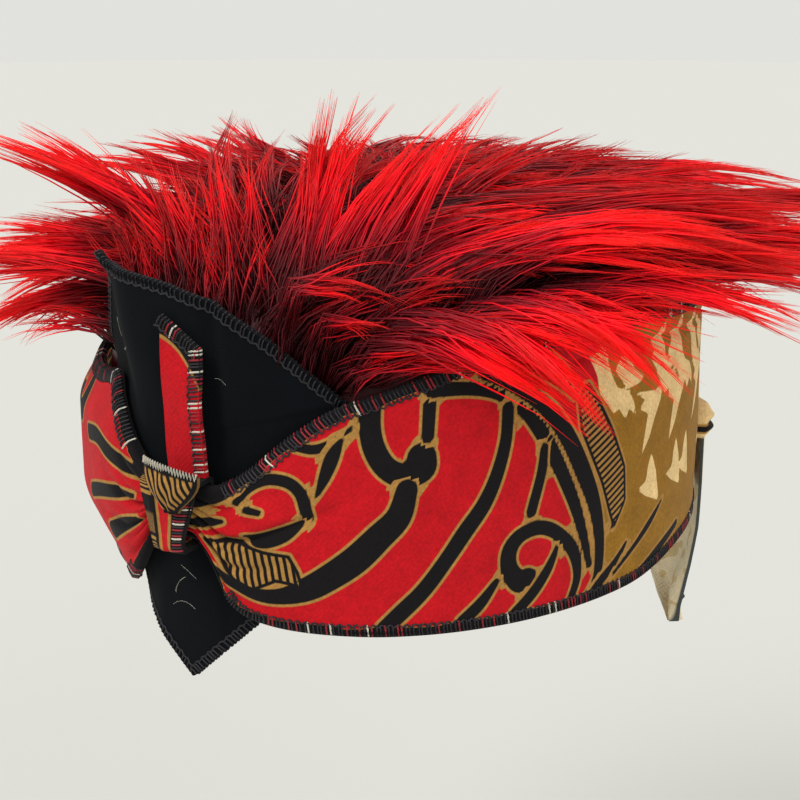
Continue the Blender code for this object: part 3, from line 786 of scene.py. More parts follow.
@dataclass(frozen=True)
class BatikCotton:
    """Wax-resist printed cotton: a matte plain weave, inked black shapes with gold outlines.

    The dye soaks in, so there is no gloss, and the ink's edge is a little soft. A real thread is
    about 0.3 mm. It is drawn at 0.7 mm, since a finer one can't show.
    """

    red: str = "#bd0d19"
    black: str = "#100d0f"
    gold: str = "#a87c3e"
    brown: str = "#94691c"
    cream: str = "#e8c88c"
    outline_mm: float = 0.72
    hatch_mm: float = 1.7
    stripe_softness: float = 0.35
    border_mm: float = 0.9
    thread_mm: float = 0.7
    thread_rise_mm: float = 0.03
    roughness: float = 0.86
    sheen: float = 0.04
    specular: float = 0.15

    def build(self) -> Material:
        """Make the material from the distances that BatikPrint stores.

        Returns:
            The material.
        """
        material, tree, shader = new_material("batik_cotton")
        names = ("brown", "bird", "leaf", "ink", "hatch", "cloth")
        read = [add_node(tree, "ShaderNodeAttribute", attribute_name=name) for name in names]
        brown, bird, leaf, ink, hatch, _ = (node.outputs["Fac"] for node in read)
        gold, black = linear(self.gold), linear(self.black)
        field = printed(tree, linear(self.red), linear(self.brown), Edge(brown))
        field = printed(tree, field, linear(self.cream), Edge(bird))
        for shape in (leaf, ink):
            field = printed(tree, field, gold, Edge(shape, self.outline_mm))
        for shape in (ink, leaf):
            field = printed(tree, field, black, Edge(shape))
        turns = {0: hatch, 1: 2 * math.pi / self.hatch_mm}
        turned = add_node(tree, "ShaderNodeMath", turns, operation="MULTIPLY").outputs[0]
        wave = add_node(tree, "ShaderNodeMath", {0: turned}, operation="SINE").outputs[0]
        stripe = Edge(wave, 0.0, self.stripe_softness)
        field = printed(tree, field, gold, stripe, Edge(leaf, -self.border_mm))
        field = mottled(tree, field, 6.0, 0.86, 1.06)
        field = mottled(tree, field, 0.8, 0.80, 1.10)
        weave = woven(tree, read[-1].outputs["Vector"], self.thread_mm, self.thread_rise_mm)
        looks = {"Base Color": field, "Normal": weave, "Roughness": self.roughness}
        fill(tree, shader, looks | {"Sheen Weight": self.sheen, "Specular IOR Level": self.specular})
        return material


@dataclass(frozen=True)
class PressedFelt:
    """Pressed polyester felt: matted fibres that scatter light, near black with a blue cast."""

    colour: str = "#05080c"
    lint: str = "#13181d"
    fibre_mm: float = 0.5
    fibre_rise: float = 0.12 * MM
    roughness: float = 0.97
    sheen: float = 0.02
    sheen_roughness: float = 0.7
    specular: float = 0.04

    def build(self) -> Material:
        """Make the material: fibres as a bump, with paler specks where they stand up.

        Returns:
            The material.
        """
        material, tree, shader = new_material("pressed_felt")
        place = add_node(tree, "ShaderNodeTexCoord").outputs["Object"]
        fibres = {"Vector": place, "Scale": 1 / (self.fibre_mm * MM), "Detail": 4.0}
        fibre = add_node(tree, "ShaderNodeTexNoise", fibres).outputs["Fac"]
        limits = {"Value": fibre, "From Min": 0.60, "From Max": 0.78, "To Min": 0.0, "To Max": 0.5}
        specks = add_node(tree, "ShaderNodeMapRange", limits).outputs["Result"]
        layers = {0: specks, 6: linear(self.colour), 7: linear(self.lint)}
        colour = add_node(tree, "ShaderNodeMix", layers, data_type="RGBA").outputs[2]
        heights = {"Height": fibre, "Distance": self.fibre_rise, "Strength": 0.6}
        looks = {
            "Base Color": mottled(tree, colour, 9.0, 0.8, 1.15),
            "Normal": add_node(tree, "ShaderNodeBump", heights).outputs["Normal"],
            "Roughness": self.roughness, "Sheen Weight": self.sheen,
            "Sheen Roughness": self.sheen_roughness, "Specular IOR Level": self.specular,
        }
        fill(tree, shader, looks)
        return material


@dataclass(frozen=True)
class KnitBacking:
    """Dark jersey knit that carries the pile: fine loops, hardly seen between the strands."""

    colour: str = "#2a070c"
    loop_mm: float = 1.4
    loop_rise_mm: float = 0.25
    roughness: float = 0.95

    def build(self) -> Material:
        """Make the material: the knit's loops as a bump, two threads to a loop.

        Returns:
            The material.
        """
        material, tree, shader = new_material("knit_backing")
        place = add_node(tree, "ShaderNodeTexCoord").outputs["Object"]
        scale = {0: place, 1: (1 / MM, 1 / MM, 1 / MM)}
        in_mm = add_node(tree, "ShaderNodeVectorMath", scale, operation="MULTIPLY").outputs[0]
        loops = woven(tree, in_mm, self.loop_mm / 2, self.loop_rise_mm)
        looks = {"Base Color": linear(self.colour), "Normal": loops, "Roughness": self.roughness}
        fill(tree, shader, looks)
        return material


class Dye(IntEnum):
    """The dye of an overlock stitch's thread."""

    DARK = 0
    RED = 1
    PALE = 2


@dataclass(frozen=True)
class SpunThread:
    """Spun polyester overlock thread: matte, with each stitch in one of three dyes."""

    dark: str = "#17131a"
    red: str = "#8c1020"
    pale: str = "#c9c4b4"
    roughness: float = 0.7

    def build(self) -> Material:
        """Make the material from the dye that is stored on each stitch.

        Returns:
            The material.
        """
        material, tree, shader = new_material("spun_thread")
        dye = add_node(tree, "ShaderNodeAttribute", attribute_name="dye").outputs["Fac"]
        dark, red, pale = linear(self.dark), linear(self.red), linear(self.pale)
        colour = printed(tree, red, dark, Edge(dye, Dye.DARK + 0.5, 0.05))
        colour = printed(tree, pale, colour, Edge(dye, Dye.RED + 0.5, 0.05))
        colour = mottled(tree, colour, 0.6, 0.8, 1.1)
        fill(tree, shader, {"Base Color": colour, "Roughness": self.roughness})
        return material


@dataclass(frozen=True)
class TieCotton:
    """The rear tie's cotton: cream with a dark dyed border and faint brown figures."""

    cream: str = "#e3d2ae"
    border: str = "#3c4240"
    figure: str = "#c9ab74"
    border_mm: float = 0.5
    border_softness: float = 0.25
    thread_mm: float = 0.7
    thread_rise_mm: float = 0.10
    roughness: float = 0.88

    def build(self) -> Material:
        """Make the material from the distance to the cloth's edge.

        Returns:
            The material.
        """
        material, tree, shader = new_material("tie_cotton")
        place = add_node(tree, "ShaderNodeAttribute", attribute_name="cloth").outputs["Vector"]
        hem = add_node(tree, "ShaderNodeAttribute", attribute_name="border").outputs["Fac"]
        blobs = {"Vector": place, "Scale": 0.16, "Detail": 0.5}
        blob = add_node(tree, "ShaderNodeTexNoise", blobs).outputs["Fac"]
        limits = {"Value": blob, "From Min": 0.54, "From Max": 0.57, "To Min": 0.0, "To Max": 0.8}
        share = add_node(tree, "ShaderNodeMapRange", limits).outputs["Result"]
        layers = {0: share, 6: linear(self.cream), 7: linear(self.figure)}
        colour = add_node(tree, "ShaderNodeMix", layers, data_type="RGBA").outputs[2]
        edge = Edge(hem, self.border_mm, self.border_softness)
        colour = mottled(tree, printed(tree, colour, linear(self.border), edge), 4.0, 0.88, 1.05)
        weave = woven(tree, place, self.thread_mm, self.thread_rise_mm)
        fill(tree, shader, {"Base Color": colour, "Normal": weave, "Roughness": self.roughness})
        return material


@dataclass(frozen=True)
class DyedFauxFur:
    """Modacrylic long pile: glossy strands, near-black maroon at the root and bright red at the tip."""

    stops: tuple[tuple[float, str], ...] = (
        (0.00, "#1c0208"),
        (0.22, "#52060f"),
        (0.44, "#a8061a"),
        (0.66, "#f40819"),
        (1.00, "#ff2018"),
    )
    tone_depth: tuple[float, float] = (0.40, 1.30)
    roughness: float = 0.42
    ior: float = 1.45
    specular: float = 0.22

    def build(self) -> Material:
        """Make the material from the place along the strand and the strand's tone, which holds random variation
        and each row's painted light and shade.

        Returns:
            The material.
        """
        material, tree, shader = new_material("dyed_faux_fur")
        names = ("along", "tone")
        along, tone = (
            add_node(tree, "ShaderNodeAttribute", attribute_name=name).outputs["Fac"] for name in names
        )
        ramp = add_node(tree, "ShaderNodeValToRGB", {0: along})
        stops = ramp.color_ramp.elements
        stops.remove(stops[1])
        stops[0].position, stops[0].color = self.stops[0][0], linear(self.stops[0][1])
        for place, colour in self.stops[1:]:
            stops.new(place).color = linear(colour)
        # The tone scales the dye's colour: random per lock, plus each row's painted light and shade
        dyed = shaded(tree, ramp.outputs[0], tone, (0.0, 1.0), self.tone_depth)
        looks = {"Base Color": dyed, "Roughness": self.roughness, "IOR": self.ior}
        fill(tree, shader, looks | {"Specular IOR Level": self.specular})
        return material


@dataclass(frozen=True)
class StudioPaper:
    """Matte pale paper for the floor."""

    colour: str = "#c8c8c3"
    roughness: float = 1.0

    def build(self) -> Material:
        """Make the material.

        Returns:
            The material.
        """
        material, tree, shader = new_material("studio_paper")
        looks = {"Base Color": linear(self.colour), "Roughness": self.roughness}
        fill(tree, shader, looks | {"Specular IOR Level": 0.0})
        return material


Line = tuple[tuple[float, float, float], ...]
Corners = tuple[tuple[float, float], ...]

# Brushed lines of the print: degrees, height and half width in millimetres
STROKES: dict[str, Line] = {
    "hook": (
        (33.3, 61.6, 2.9), (33.3, 54.6, 2.9), (34.1, 49.1, 3), (35.9, 44.7, 3.1), (38.5, 42.8, 3.4),
        (40.9, 44.5, 4.1), (41.2, 47.1, 3.9),
    ),
    "hook_top": ((42.4, 62, 1.9), (42.1, 52.2, 1.8)),
    "stem": (
        (38.9, 39.1, 2.9), (37.6, 32.3, 3.4), (34.5, 27.1, 3.7), (30.9, 21.5, 3.9), (26.9, 17.1, 3.7),
        (23.4, 14, 3.4), (19.6, 12, 2.5), (15.7, 12, 2), (12.2, 14.3, 1.7), (9, 17, 1.5), (6, 20.3, 1.2),
    ),
    "arc_in": (
        (42.7, 63.9, 2.1), (48.6, 63.4, 2), (53.4, 61.1, 1.9), (57.5, 56.5, 2.2), (61, 48.9, 2.5),
        (63.9, 40.8, 2.5), (67.1, 30.1, 2.3), (69.4, 19.7, 1.8), (70.9, 10.8, 1.3),
    ),
    "arc_out": (
        (50.8, 67.3, 2.2), (55.9, 63.1, 2.4), (61.2, 56.6, 2.7), (65.5, 47.7, 3), (68.9, 37.5, 3.1),
        (71.6, 27.1, 2.7), (73, 16.9, 2.3), (73, 8.5, 2.1), (71.6, 1.2, 2.1),
    ),
    "long": (
        (54.8, 57.6, 2), (54.6, 49.4, 2.1), (53.2, 40.7, 2.3), (51.1, 33.4, 2.5), (48.1, 27, 2.5),
        (45.1, 20.2, 2.3), (41.6, 12.8, 2.3), (38.2, 7.4, 2.4), (35.3, 3.1, 2.2),
    ),
    "short": ((61.2, 46, 1.5), (60.8, 38.8, 1.9), (59.3, 29.4, 2)),
    "curl": (
        (67.1, 2.7, 1.6), (68.4, 8.6, 1.8), (67.6, 15.5, 2.3), (64.7, 21.5, 2.3), (61.2, 24.6, 2.4),
        (57.6, 23.8, 2.5), (55.6, 20.4, 2.8), (55.5, 15.6, 3), (57.1, 11.6, 3.5), (58.7, 11.4, 3.8),
    ),
    "curl_stem": ((64.2, 18.2, 1), (62.7, 13.3, 1.8), (60, 7.7, 2), (56.5, 2.8, 2)),
    "low": ((53.3, 12.5, 1.3), (50.7, 7.3, 2), (47.7, 3.1, 2)),
    "sprig": (
        (12.3, 35.5, 1.2), (14.1, 39.4, 1.5), (17.2, 41.9, 1.6), (20.5, 41.5, 1.7), (22.5, 38.8, 1.7),
        (23.3, 34.8, 1.7), (23.7, 32.2, 1.5),
    ),
    "sprig_eye": ((14, 34, 1.2), (16, 33.5, 1)),
    "lens": ((21.9, 50.4, 1.4), (24.8, 49.8, 1.4), (28, 51.9, 1.2), (30.6, 55.2, 0.7)),
    "rib": ((29, 52.4, 0.7), (27.6, 48.2, 1.9), (26.4, 43.3, 1.7), (25.1, 38.2, 0.7)),
    "pod": ((22.6, 30.9, 1), (19.8, 28, 2), (16.4, 26.3, 2), (13.5, 27.2, 0.7)),
    "leaf_side": (
        (69.4, 59.6, 1.3), (72.1, 53, 1.5), (75.1, 43.9, 1.8), (77.1, 34.4, 1.6), (77.4, 26, 1.3),
        (75.7, 19, 0.8),
    ),
    "blade_low": ((79.7, 13.2, 0.8), (77, 8.8, 1.6), (73.5, 4.9, 1.8), (70.9, 1.6, 1.6)),
    "blade_mid": ((90.7, 20.6, 0.5), (86.7, 16, 1.4), (81.5, 10.6, 1.1), (76.4, 5.5, 0.8)),
    "blade_rear": ((97.8, 9.4, 1.4), (90.8, 6.6, 1.7), (84.2, 2.9, 1.6)),
    "neck_high": ((4, 34.5, 1.4), (7, 35.5, 1.8), (10, 37, 1.4), (13, 40.3, 0.8)),
    "neck_low": ((4, 29.5, 1), (7, 30, 1.5), (10, 30.6, 0.8)),
    "right_high": ((-28.3, 41, 2.4), (-22, 42.7, 2.4), (-16.5, 41.1, 2.3), (-11.1, 39.5, 2), (-6.7, 38.3, 1.5)),
    "right_mid": ((-27.7, 24.9, 2.2), (-21, 28.2, 2.1), (-13.7, 31, 1.8), (-7.5, 32.4, 0.8)),
    "right_low": ((-16.1, 19.2, 2.6), (-11, 23.3, 2.1), (-6.7, 26.5, 1)),
}

# Filled shapes of the print, in degrees and millimetres of height
LEAVES: dict[str, Corners] = {
    "leaf_hatched": (
        (68.6, 60.8), (72.1, 55.1), (75.8, 44.5), (78.4, 35.3), (79, 25.4), (76.2, 18.2), (74.6, 24.5),
        (72.7, 32.9), (70.3, 41.1), (68.1, 48.4), (67.3, 56),
    ),
    "leaf_top": (
        (53.7, 76.5), (57.4, 74.1), (62.2, 70.1), (65.3, 65.3), (66.5, 56.8), (63.1, 61.3), (58.4, 65.9),
        (55.3, 71.5),
    ),
    "leaf_pod": (
        (6.5, 26.2), (9.9, 26), (13, 25.8), (16.9, 23.8), (20.7, 22.9), (22.1, 18.6), (23.1, 12.9),
        (20.8, 14.8), (18.5, 15.6), (14.7, 12.9), (11.5, 15.5), (10.1, 18.6), (8.7, 22.3),
    ),
    "leaf_brim": (
        (30.5, 60.3), (34, 61.6), (40, 63.2), (45, 66), (49.5, 69.5), (51, 76), (30, 72),
    ),
}
# Direction across each hatched leaf's stripes, degrees from level
HATCH_TURNS: dict[str, float] = {"leaf_hatched": 118.0, "leaf_top": 118.0, "leaf_pod": 8.0, "leaf_brim": 100.0}
BIRDS: dict[str, Corners] = {
    "bird_high": (
        (74.3, 70.7), (72.5, 69.3), (71.5, 67), (69.6, 66.8), (71.3, 61.6), (72, 56.7), (73.9, 53.2),
        (75.2, 50.4), (76.6, 51.2), (78.2, 47.7), (79.1, 50.6), (81.1, 47.4), (80.3, 52), (78.9, 55.2),
        (76.1, 57), (74.9, 60), (73.6, 64.6),
    ),
    "bird_wing": (
        (77.9, 67.5), (79.6, 64.3), (80, 61), (83.2, 57.5), (81.3, 56.3), (78.6, 55.8), (77, 58.8),
        (75.3, 61.7), (76.4, 64.3),
    ),
    "bird_tail": (
        (89.4, 54.3), (86.8, 52.6), (80.3, 54.2), (83.5, 51.1), (81.8, 49.3), (84.6, 46.9), (83.9, 42.2),
        (83, 35.9), (85.5, 40.4), (86.9, 44.8), (88.7, 49.1),
    ),
    "bird_low": (
        (86.4, 35.5), (88, 29.7), (89.2, 20.5), (84.7, 23.9), (82.2, 26.7), (84.8, 28.1), (85.3, 32.1),
    ),
}
FIGURE = (
    "arc_in", "arc_out", "curl", "curl_stem", "short", "leaf_side", "leaf_hatched", "leaf_top", "bird_high",
    "bird_wing", "bird_tail", "bird_low", "blade_low", "blade_mid", "blade_rear",
)


class Ornament(Enum):
    """A kind of printed shape: a brushed line, a hatched leaf or a cream bird."""

    INK = "ink"
    LEAF = "leaf"
    BIRD = "bird"


MOTIFS: dict[Ornament, dict] = {Ornament.INK: STROKES, Ornament.LEAF: LEAVES, Ornament.BIRD: BIRDS}


class Repeat(NamedTuple):
    """Where a group of the print's shapes comes again: degrees on, and whether it is mirrored."""

    names: tuple[str, ...]
    shift: float = 0.0
    mirrored: bool = False


REPEATS: tuple[Repeat, ...] = (
    Repeat(tuple(STROKES) + tuple(LEAVES) + tuple(BIRDS)),
    Repeat(("bird_high", "bird_wing", "bird_low"), 15),
    Repeat(("bird_tail", "bird_high"), 22),
    Repeat(("bird_tail", "bird_low", "bird_wing"), 9.5),
    Repeat(tuple(BIRDS), 30),
    Repeat(FIGURE, 76),
    Repeat(("hook", "hook_top", "long", "low") + FIGURE, 0, True),
    Repeat(FIGURE, 46, True),
    Repeat(FIGURE, 90, True),
)


@dataclass(frozen=True)
class BatikPrint:
    """Distances of the cloth from the printed shapes, for the cotton's finish to ink."""

    oval: HeadOval = HeadOval()
    far_mm: float = 30.0
    outline_mm: float = 0.72
    trim_mm: float = 0.20
    thinnest_mm: float = 0.35
    side_trim: float = 0.12
    join_mm: float = 1.3
    channel_mm: float = 2.1
    steps: int = 5
    side_from: float = 71.5

    def placed(self, table: tuple, repeat: Repeat) -> ndarray:
        """A table's rows on the cloth, in millimetres along the oval and of height.

        Args:
            table: The rows.
            repeat: Where they are printed.

        Returns:
            The placed rows.
        """
        rows = np.array(table, float)
        degrees = (rows[:, 0] + repeat.shift) * (-1 if repeat.mirrored else 1)
        rows[:, 0] = self.oval.arc_mm(degrees)
        return rows

    def smooth(self, rows: ndarray) -> ndarray:
        """More points between a line's own, on a soft curve.

        Args:
            rows: The line's points.

        Returns:
            The longer line.
        """
        if len(rows) < 3:
            return rows
        padded = np.vstack([2 * rows[0] - rows[1], rows, 2 * rows[-1] - rows[-2]])
        t = np.arange(self.steps)[:, None] / self.steps
        parts = [through(*padded[i - 1 : i + 3], t) for i in range(1, len(rows))]
        return np.vstack([*parts, rows[-1:]])

    def to_line(self, spots: ndarray, line: ndarray) -> ndarray:
        """Distance of spots outside a brushed line.

        Args:
            spots: Places on the cloth, rows of two.
            line: Places and half widths, rows of three.

        Returns:
            Distances in millimetres, negative inside.
        """
        best = np.full(len(spots), self.far_mm)
        for start, end in zip(line[:-1], line[1:]):
            run = end[:2] - start[:2]
            t = np.clip((spots - start[:2]) @ run / max(run @ run, 1e-9), 0, 1)
            gap = np.linalg.norm(spots - start[:2] - t[:, None] * run, axis=1)
            best = np.minimum(best, gap - blend(start[2], end[2], t))
        return best

    def to_shape(self, spots: ndarray, corners: ndarray) -> ndarray:
        """Distance of spots outside a filled shape.

        Args:
            spots: Places on the cloth, rows of two.
            corners: The shape's corners, rows of two.

        Returns:
            Distances in millimetres, negative inside.
        """
        best = np.full(len(spots), self.far_mm)
        within = np.zeros(len(spots), bool)
        for start, end in zip(corners, np.roll(corners, -1, 0)):
            run = end - start
            t = np.clip((spots - start) @ run / max(run @ run, 1e-9), 0, 1)
            best = np.minimum(best, np.linalg.norm(spots - start - t[:, None] * run, axis=1))
            spans = (start[1] > spots[:, 1]) != (end[1] > spots[:, 1])
            if start[1] != end[1]:
                crossing = start[0] + run[0] * (spots[:, 1] - start[1]) / run[1]
                within ^= spans & (spots[:, 0] < crossing)
        return np.where(within, -best, best)

    def inked(self, under: ndarray, gap: ndarray) -> ndarray:
        """Lay a brushed line over earlier ones, with gold where they meet or run close.

        Args:
            under: Distances outside the earlier lines.
            gap: Distances outside the new line.

        Returns:
            Distances outside them all.
        """
        gold = self.outline_mm / 2
        nearest = np.where(under > self.outline_mm, np.minimum(under, gap), under)
        nearest = np.where((under < 0) & (gap < self.join_mm), gold, nearest)
        channel = (under > 0) & (np.maximum(under, gap) < self.channel_mm)
        nearest = np.where(channel, np.minimum(nearest, gold), nearest)
        return np.where(gap < gold, gap, nearest)

    def lay(self, degrees: ndarray, height: ndarray) -> dict[str, ndarray]:
        """Distances from every shape for a grid of places on the band.

        Args:
            degrees: Angles of the grid.
            height: Heights of the grid, in metres.

        Returns:
            Grids named for the finish.
        """
        arc = self.oval.arc_mm(degrees)
        arc, tall = np.broadcast_arrays(arc, height / MM)
        spots = np.stack([arc.ravel(), tall.ravel()], -1)
        names = [kind.value for kind in Ornament] + ["hatch"]
        grids = {name: np.full(len(spots), self.far_mm) for name in names}
        for repeat in REPEATS:
            for name in repeat.names:
                kind = next(each for each, shapes in MOTIFS.items() if name in shapes)
                rows = self.placed(MOTIFS[kind][name], repeat)
                if kind is Ornament.INK:
                    rows = self.smooth(rows)
                    rows[:, 2] = np.maximum(rows[:, 2] - self.trim_mm, self.thinnest_mm)
                    rows[:, 2] *= 1 - self.side_trim * ease((np.abs(rows[:, 0]) - 65.0) / 20.0)
                low, high = rows[:, :2].min(0) - 8, rows[:, :2].max(0) + 8
                near = np.all((spots > low) & (spots < high), axis=1)
                if not near.any():
                    continue
                under = grids[kind.value][near]
                if kind is Ornament.INK:
                    grids[kind.value][near] = self.inked(under, self.to_line(spots[near], rows))
                    continue
                gap = self.to_shape(spots[near], rows)
                if name in HATCH_TURNS:
                    turn = math.radians(HATCH_TURNS[name] * (-1 if repeat.mirrored else 1))
                    lines = spots[near] @ np.array([math.cos(turn), math.sin(turn)])
                    grids["hatch"][near] = np.where(gap < under, lines, grids["hatch"][near])
                grids[kind.value][near] = np.minimum(under, gap)
        shaped = {name: grid.reshape(arc.shape) for name, grid in grids.items()}
        shaped["brown"] = self.oval.arc_mm(np.array(self.side_from)) - np.abs(arc)
        shaped["cloth"] = np.stack([arc, tall, np.zeros_like(arc)], -1)
        return shaped

    def plain(self, across: ndarray, along: ndarray) -> dict[str, ndarray]:
        """The same grids for a small piece with none of the shapes, from its own places in millimetres.

        Args:
            across: Places across.
            along: Places along.

        Returns:
            The grids.
        """
        across, along = np.broadcast_arrays(across, along)
        grids = {name: np.full(across.shape, self.far_mm) for name in ("ink", "leaf", "bird", "brown")}
        grids["hatch"] = along.astype(float)
        grids["cloth"] = np.stack([across, along, np.zeros_like(across)], -1)
        return grids


@dataclass(frozen=True)
class Serging:
    """Overlock stitches bound over a cloth's edge.

    Each stitch is one thread about 0.4 mm thick, 1 mm from the next, with a chain along its inner end.
    """

    pitch_mm: float = 1.05
    depth_mm: float = 3.0
    thread: float = 0.25 * MM
    shares: tuple[float, float, float] = (0.70, 0.22, 0.08)
    run: int = 1
    seed: int = 5

    def along(self, edge: ndarray) -> ndarray:
        """An edge's points at one stitch's pitch.

        Args:
            edge: The edge's points.

        Returns:
            The stitches' places.
        """
        steps = np.linalg.norm(np.diff(edge, axis=0), axis=1)
        runs = np.concatenate(([0.0], np.cumsum(steps)))
        spots = np.linspace(0, runs[-1], max(4, round(runs[-1] / self.pitch_mm)))
        return np.stack([np.interp(spots, runs, edge[:, k]) for k in (0, 1)], -1)

    def build(
        self,
        name: str,
        place: Callable[[ndarray, ndarray, ndarray], ndarray],
        edges: list[ndarray],
        wall: float,
        material: Material,
    ) -> Object:
        """Stitch along edges.

        Args:
            name: The piece's name.
            place: Gives points from places along and up the cloth in millimetres and a lift in metres.
            edges: Each edge's places, with the cloth on its left.
            wall: The cloth's thickness.
            material: The thread's finish.

        Returns:
            The stitches as one object.
        """
        chance = np.random.default_rng(self.seed)
        depth = np.array([1.0, 0.55, 0.08, -0.14, 0.08, 0.75]) * self.depth_mm
        lift = np.array([0.08, 0.25, 0.20, 0, 0, 0]) * MM
        lift[3:] = -0.5 * wall, -wall - 0.20 * MM, -wall - 0.10 * MM
        slant = np.array([-0.5, -0.2, 0.0, 0.0, 0.2, 0.5]) * self.pitch_mm
        paths, dyes, points, faces, shades = [], [], [], [], []
        for edge in edges:
            spots = self.along(edge)
            tangent = unit(np.gradient(spots, axis=0))
            inward = np.stack([-tangent[:, 1], tangent[:, 0]], -1)
            jitter = chance.uniform(-0.2, 0.2, (len(spots), 1)) * self.pitch_mm
            path = spots[:, None] + inward[:, None] * depth[None, :, None]
            path = path + tangent[:, None] * (slant[None] + jitter)[..., None]
            paths.append(place(path[..., 0], path[..., 1], np.broadcast_to(lift, path.shape[:2])))
            runs = chance.choice(len(Dye), size=len(spots) // self.run + 1, p=self.shares)
            dyes.append(np.repeat(runs, self.run)[: len(spots)])
            sway = self.depth_mm * (0.9 + 0.12 * (-1.0) ** np.arange(len(spots)))
            zigzag = spots + inward * sway[:, None]
            chain = place(zigzag[:, 0], zigzag[:, 1], np.full(len(spots), 0.15 * MM))[None]
            more, shapes = tubes(chain, np.full(chain.shape[:2], self.thread), 4)
            faces += [shape + sum(len(p) for p in points) for shape in shapes]
            points.append(more)
            shades.append(np.zeros(len(more)))
        joined, dye = np.concatenate(paths), np.concatenate(dyes)
        more, shapes = tubes(joined, np.full(joined.shape[:2], self.thread), 4)
        faces += [shape + sum(len(p) for p in points) for shape in shapes]
        points.append(more)
        shades.append(np.repeat(dye, joined.shape[1] * 4).astype(float))
        return mesh_piece(name, np.concatenate(points), faces, material, {"dye": np.concatenate(shades)})


@dataclass(frozen=True)
class Weaver:
    """The finishes that the cloth pieces share, made once."""

    batik: Material
    felt: Material
    thread: Material
    tie: Material
    fur: Material
    knit: Material

    @staticmethod
    def make() -> "Weaver":
        """Build every finish.

        Returns:
            The finishes.
        """
        return Weaver(
            BatikCotton().build(), PressedFelt().build(), SpunThread().build(), TieCotton().build(),
            DyedFauxFur().build(), KnitBacking().build(),
        )


@dataclass(frozen=True)
class BatikBand:
    """The gathered head band with its serged edges."""

    shape: BandShape = BandShape()
    prints: BatikPrint = BatikPrint()
    rows: int = 66
    fine_step: float = 0.6
    coarse_step: float = 1.1
    fine_from: float = -50.0
    fine_to: float = 112.0
    neck: float = 9.5
    covered_mm: float = 2.7
    flat: tuple[float, float] = (0.600, 0.078)

    def place(self, arc: ndarray, tall: ndarray, lift: ndarray) -> ndarray:
        """Points on the band from places in millimetres.

        Args:
            arc: Lengths along the oval.
            tall: Heights.
            lift: Distances off the cloth, in metres.

        Returns:
            The points.
        """
        table = np.linspace(-5, 355, 1441)
        degrees = np.interp(arc, self.shape.oval.arc_mm(table), table)
        bottom, top = self.shape.edge("bottom", degrees), self.shape.edge("top", degrees)
        share = np.clip((tall * MM - bottom) / (top - bottom), 0, 1)
        return self.shape.oval.point(degrees, self.shape.face(degrees, share) + lift, tall * MM)

    def edges(self) -> list[ndarray]:
        """The two edges clear of the knot, each with the cloth on its left.

        Returns:
            The edges' places.
        """
        degrees = np.arange(self.neck, 360 - self.neck, 0.5)
        arc = self.shape.oval.arc_mm(wrapped(degrees))
        arc = np.where(degrees >= 180, arc + 2 * self.shape.oval.arc_mm(np.array(180.0)), arc)
        low = np.stack([arc, self.shape.edge("bottom", degrees) / MM + 0.2], -1)
        high = np.stack([arc, self.shape.edge("top", degrees) / MM - 0.2], -1)
        return [low, high[::-1]]

    def build(self, finishes: Weaver) -> list[Object]:
        """Make the cloth and its stitches.

        Args:
            finishes: The shared finishes.

        Returns:
            The pieces.
        """
        fine = np.arange(self.fine_from, self.fine_to, self.fine_step)
        count = round((360 - (self.fine_to - self.fine_from)) / self.coarse_step)
        rest = np.linspace(self.fine_to, 360 + self.fine_from, count, endpoint=False)
        degrees = wrapped(np.concatenate([fine, rest]))[:, None]
        share = np.linspace(0, 1, self.rows)[None]
        bottom, top = self.shape.edge("bottom", degrees), self.shape.edge("top", degrees)
        height = blend(bottom, top, share)
        face = self.shape.face(degrees, share)
        outer = self.shape.oval.point(degrees, face, height)
        inner = self.shape.oval.point(degrees, self.shape.back(degrees, share, face), height)
        values = self.prints.lay(degrees, height)
        covered = np.minimum(height - bottom, top - height) / MM < self.covered_mm
        values["ink"] = np.where(covered, -1.0, values["ink"])
        values["leaf"] = np.where(covered, self.prints.far_mm, values["leaf"])
        cloth = sheet_piece("batik_band", outer, inner, True, finishes.batik, values)
        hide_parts("band")
        stitches = Serging().build("band_serging", self.place, self.edges(), self.shape.wall, finishes.thread)
        return [cloth, stitches]


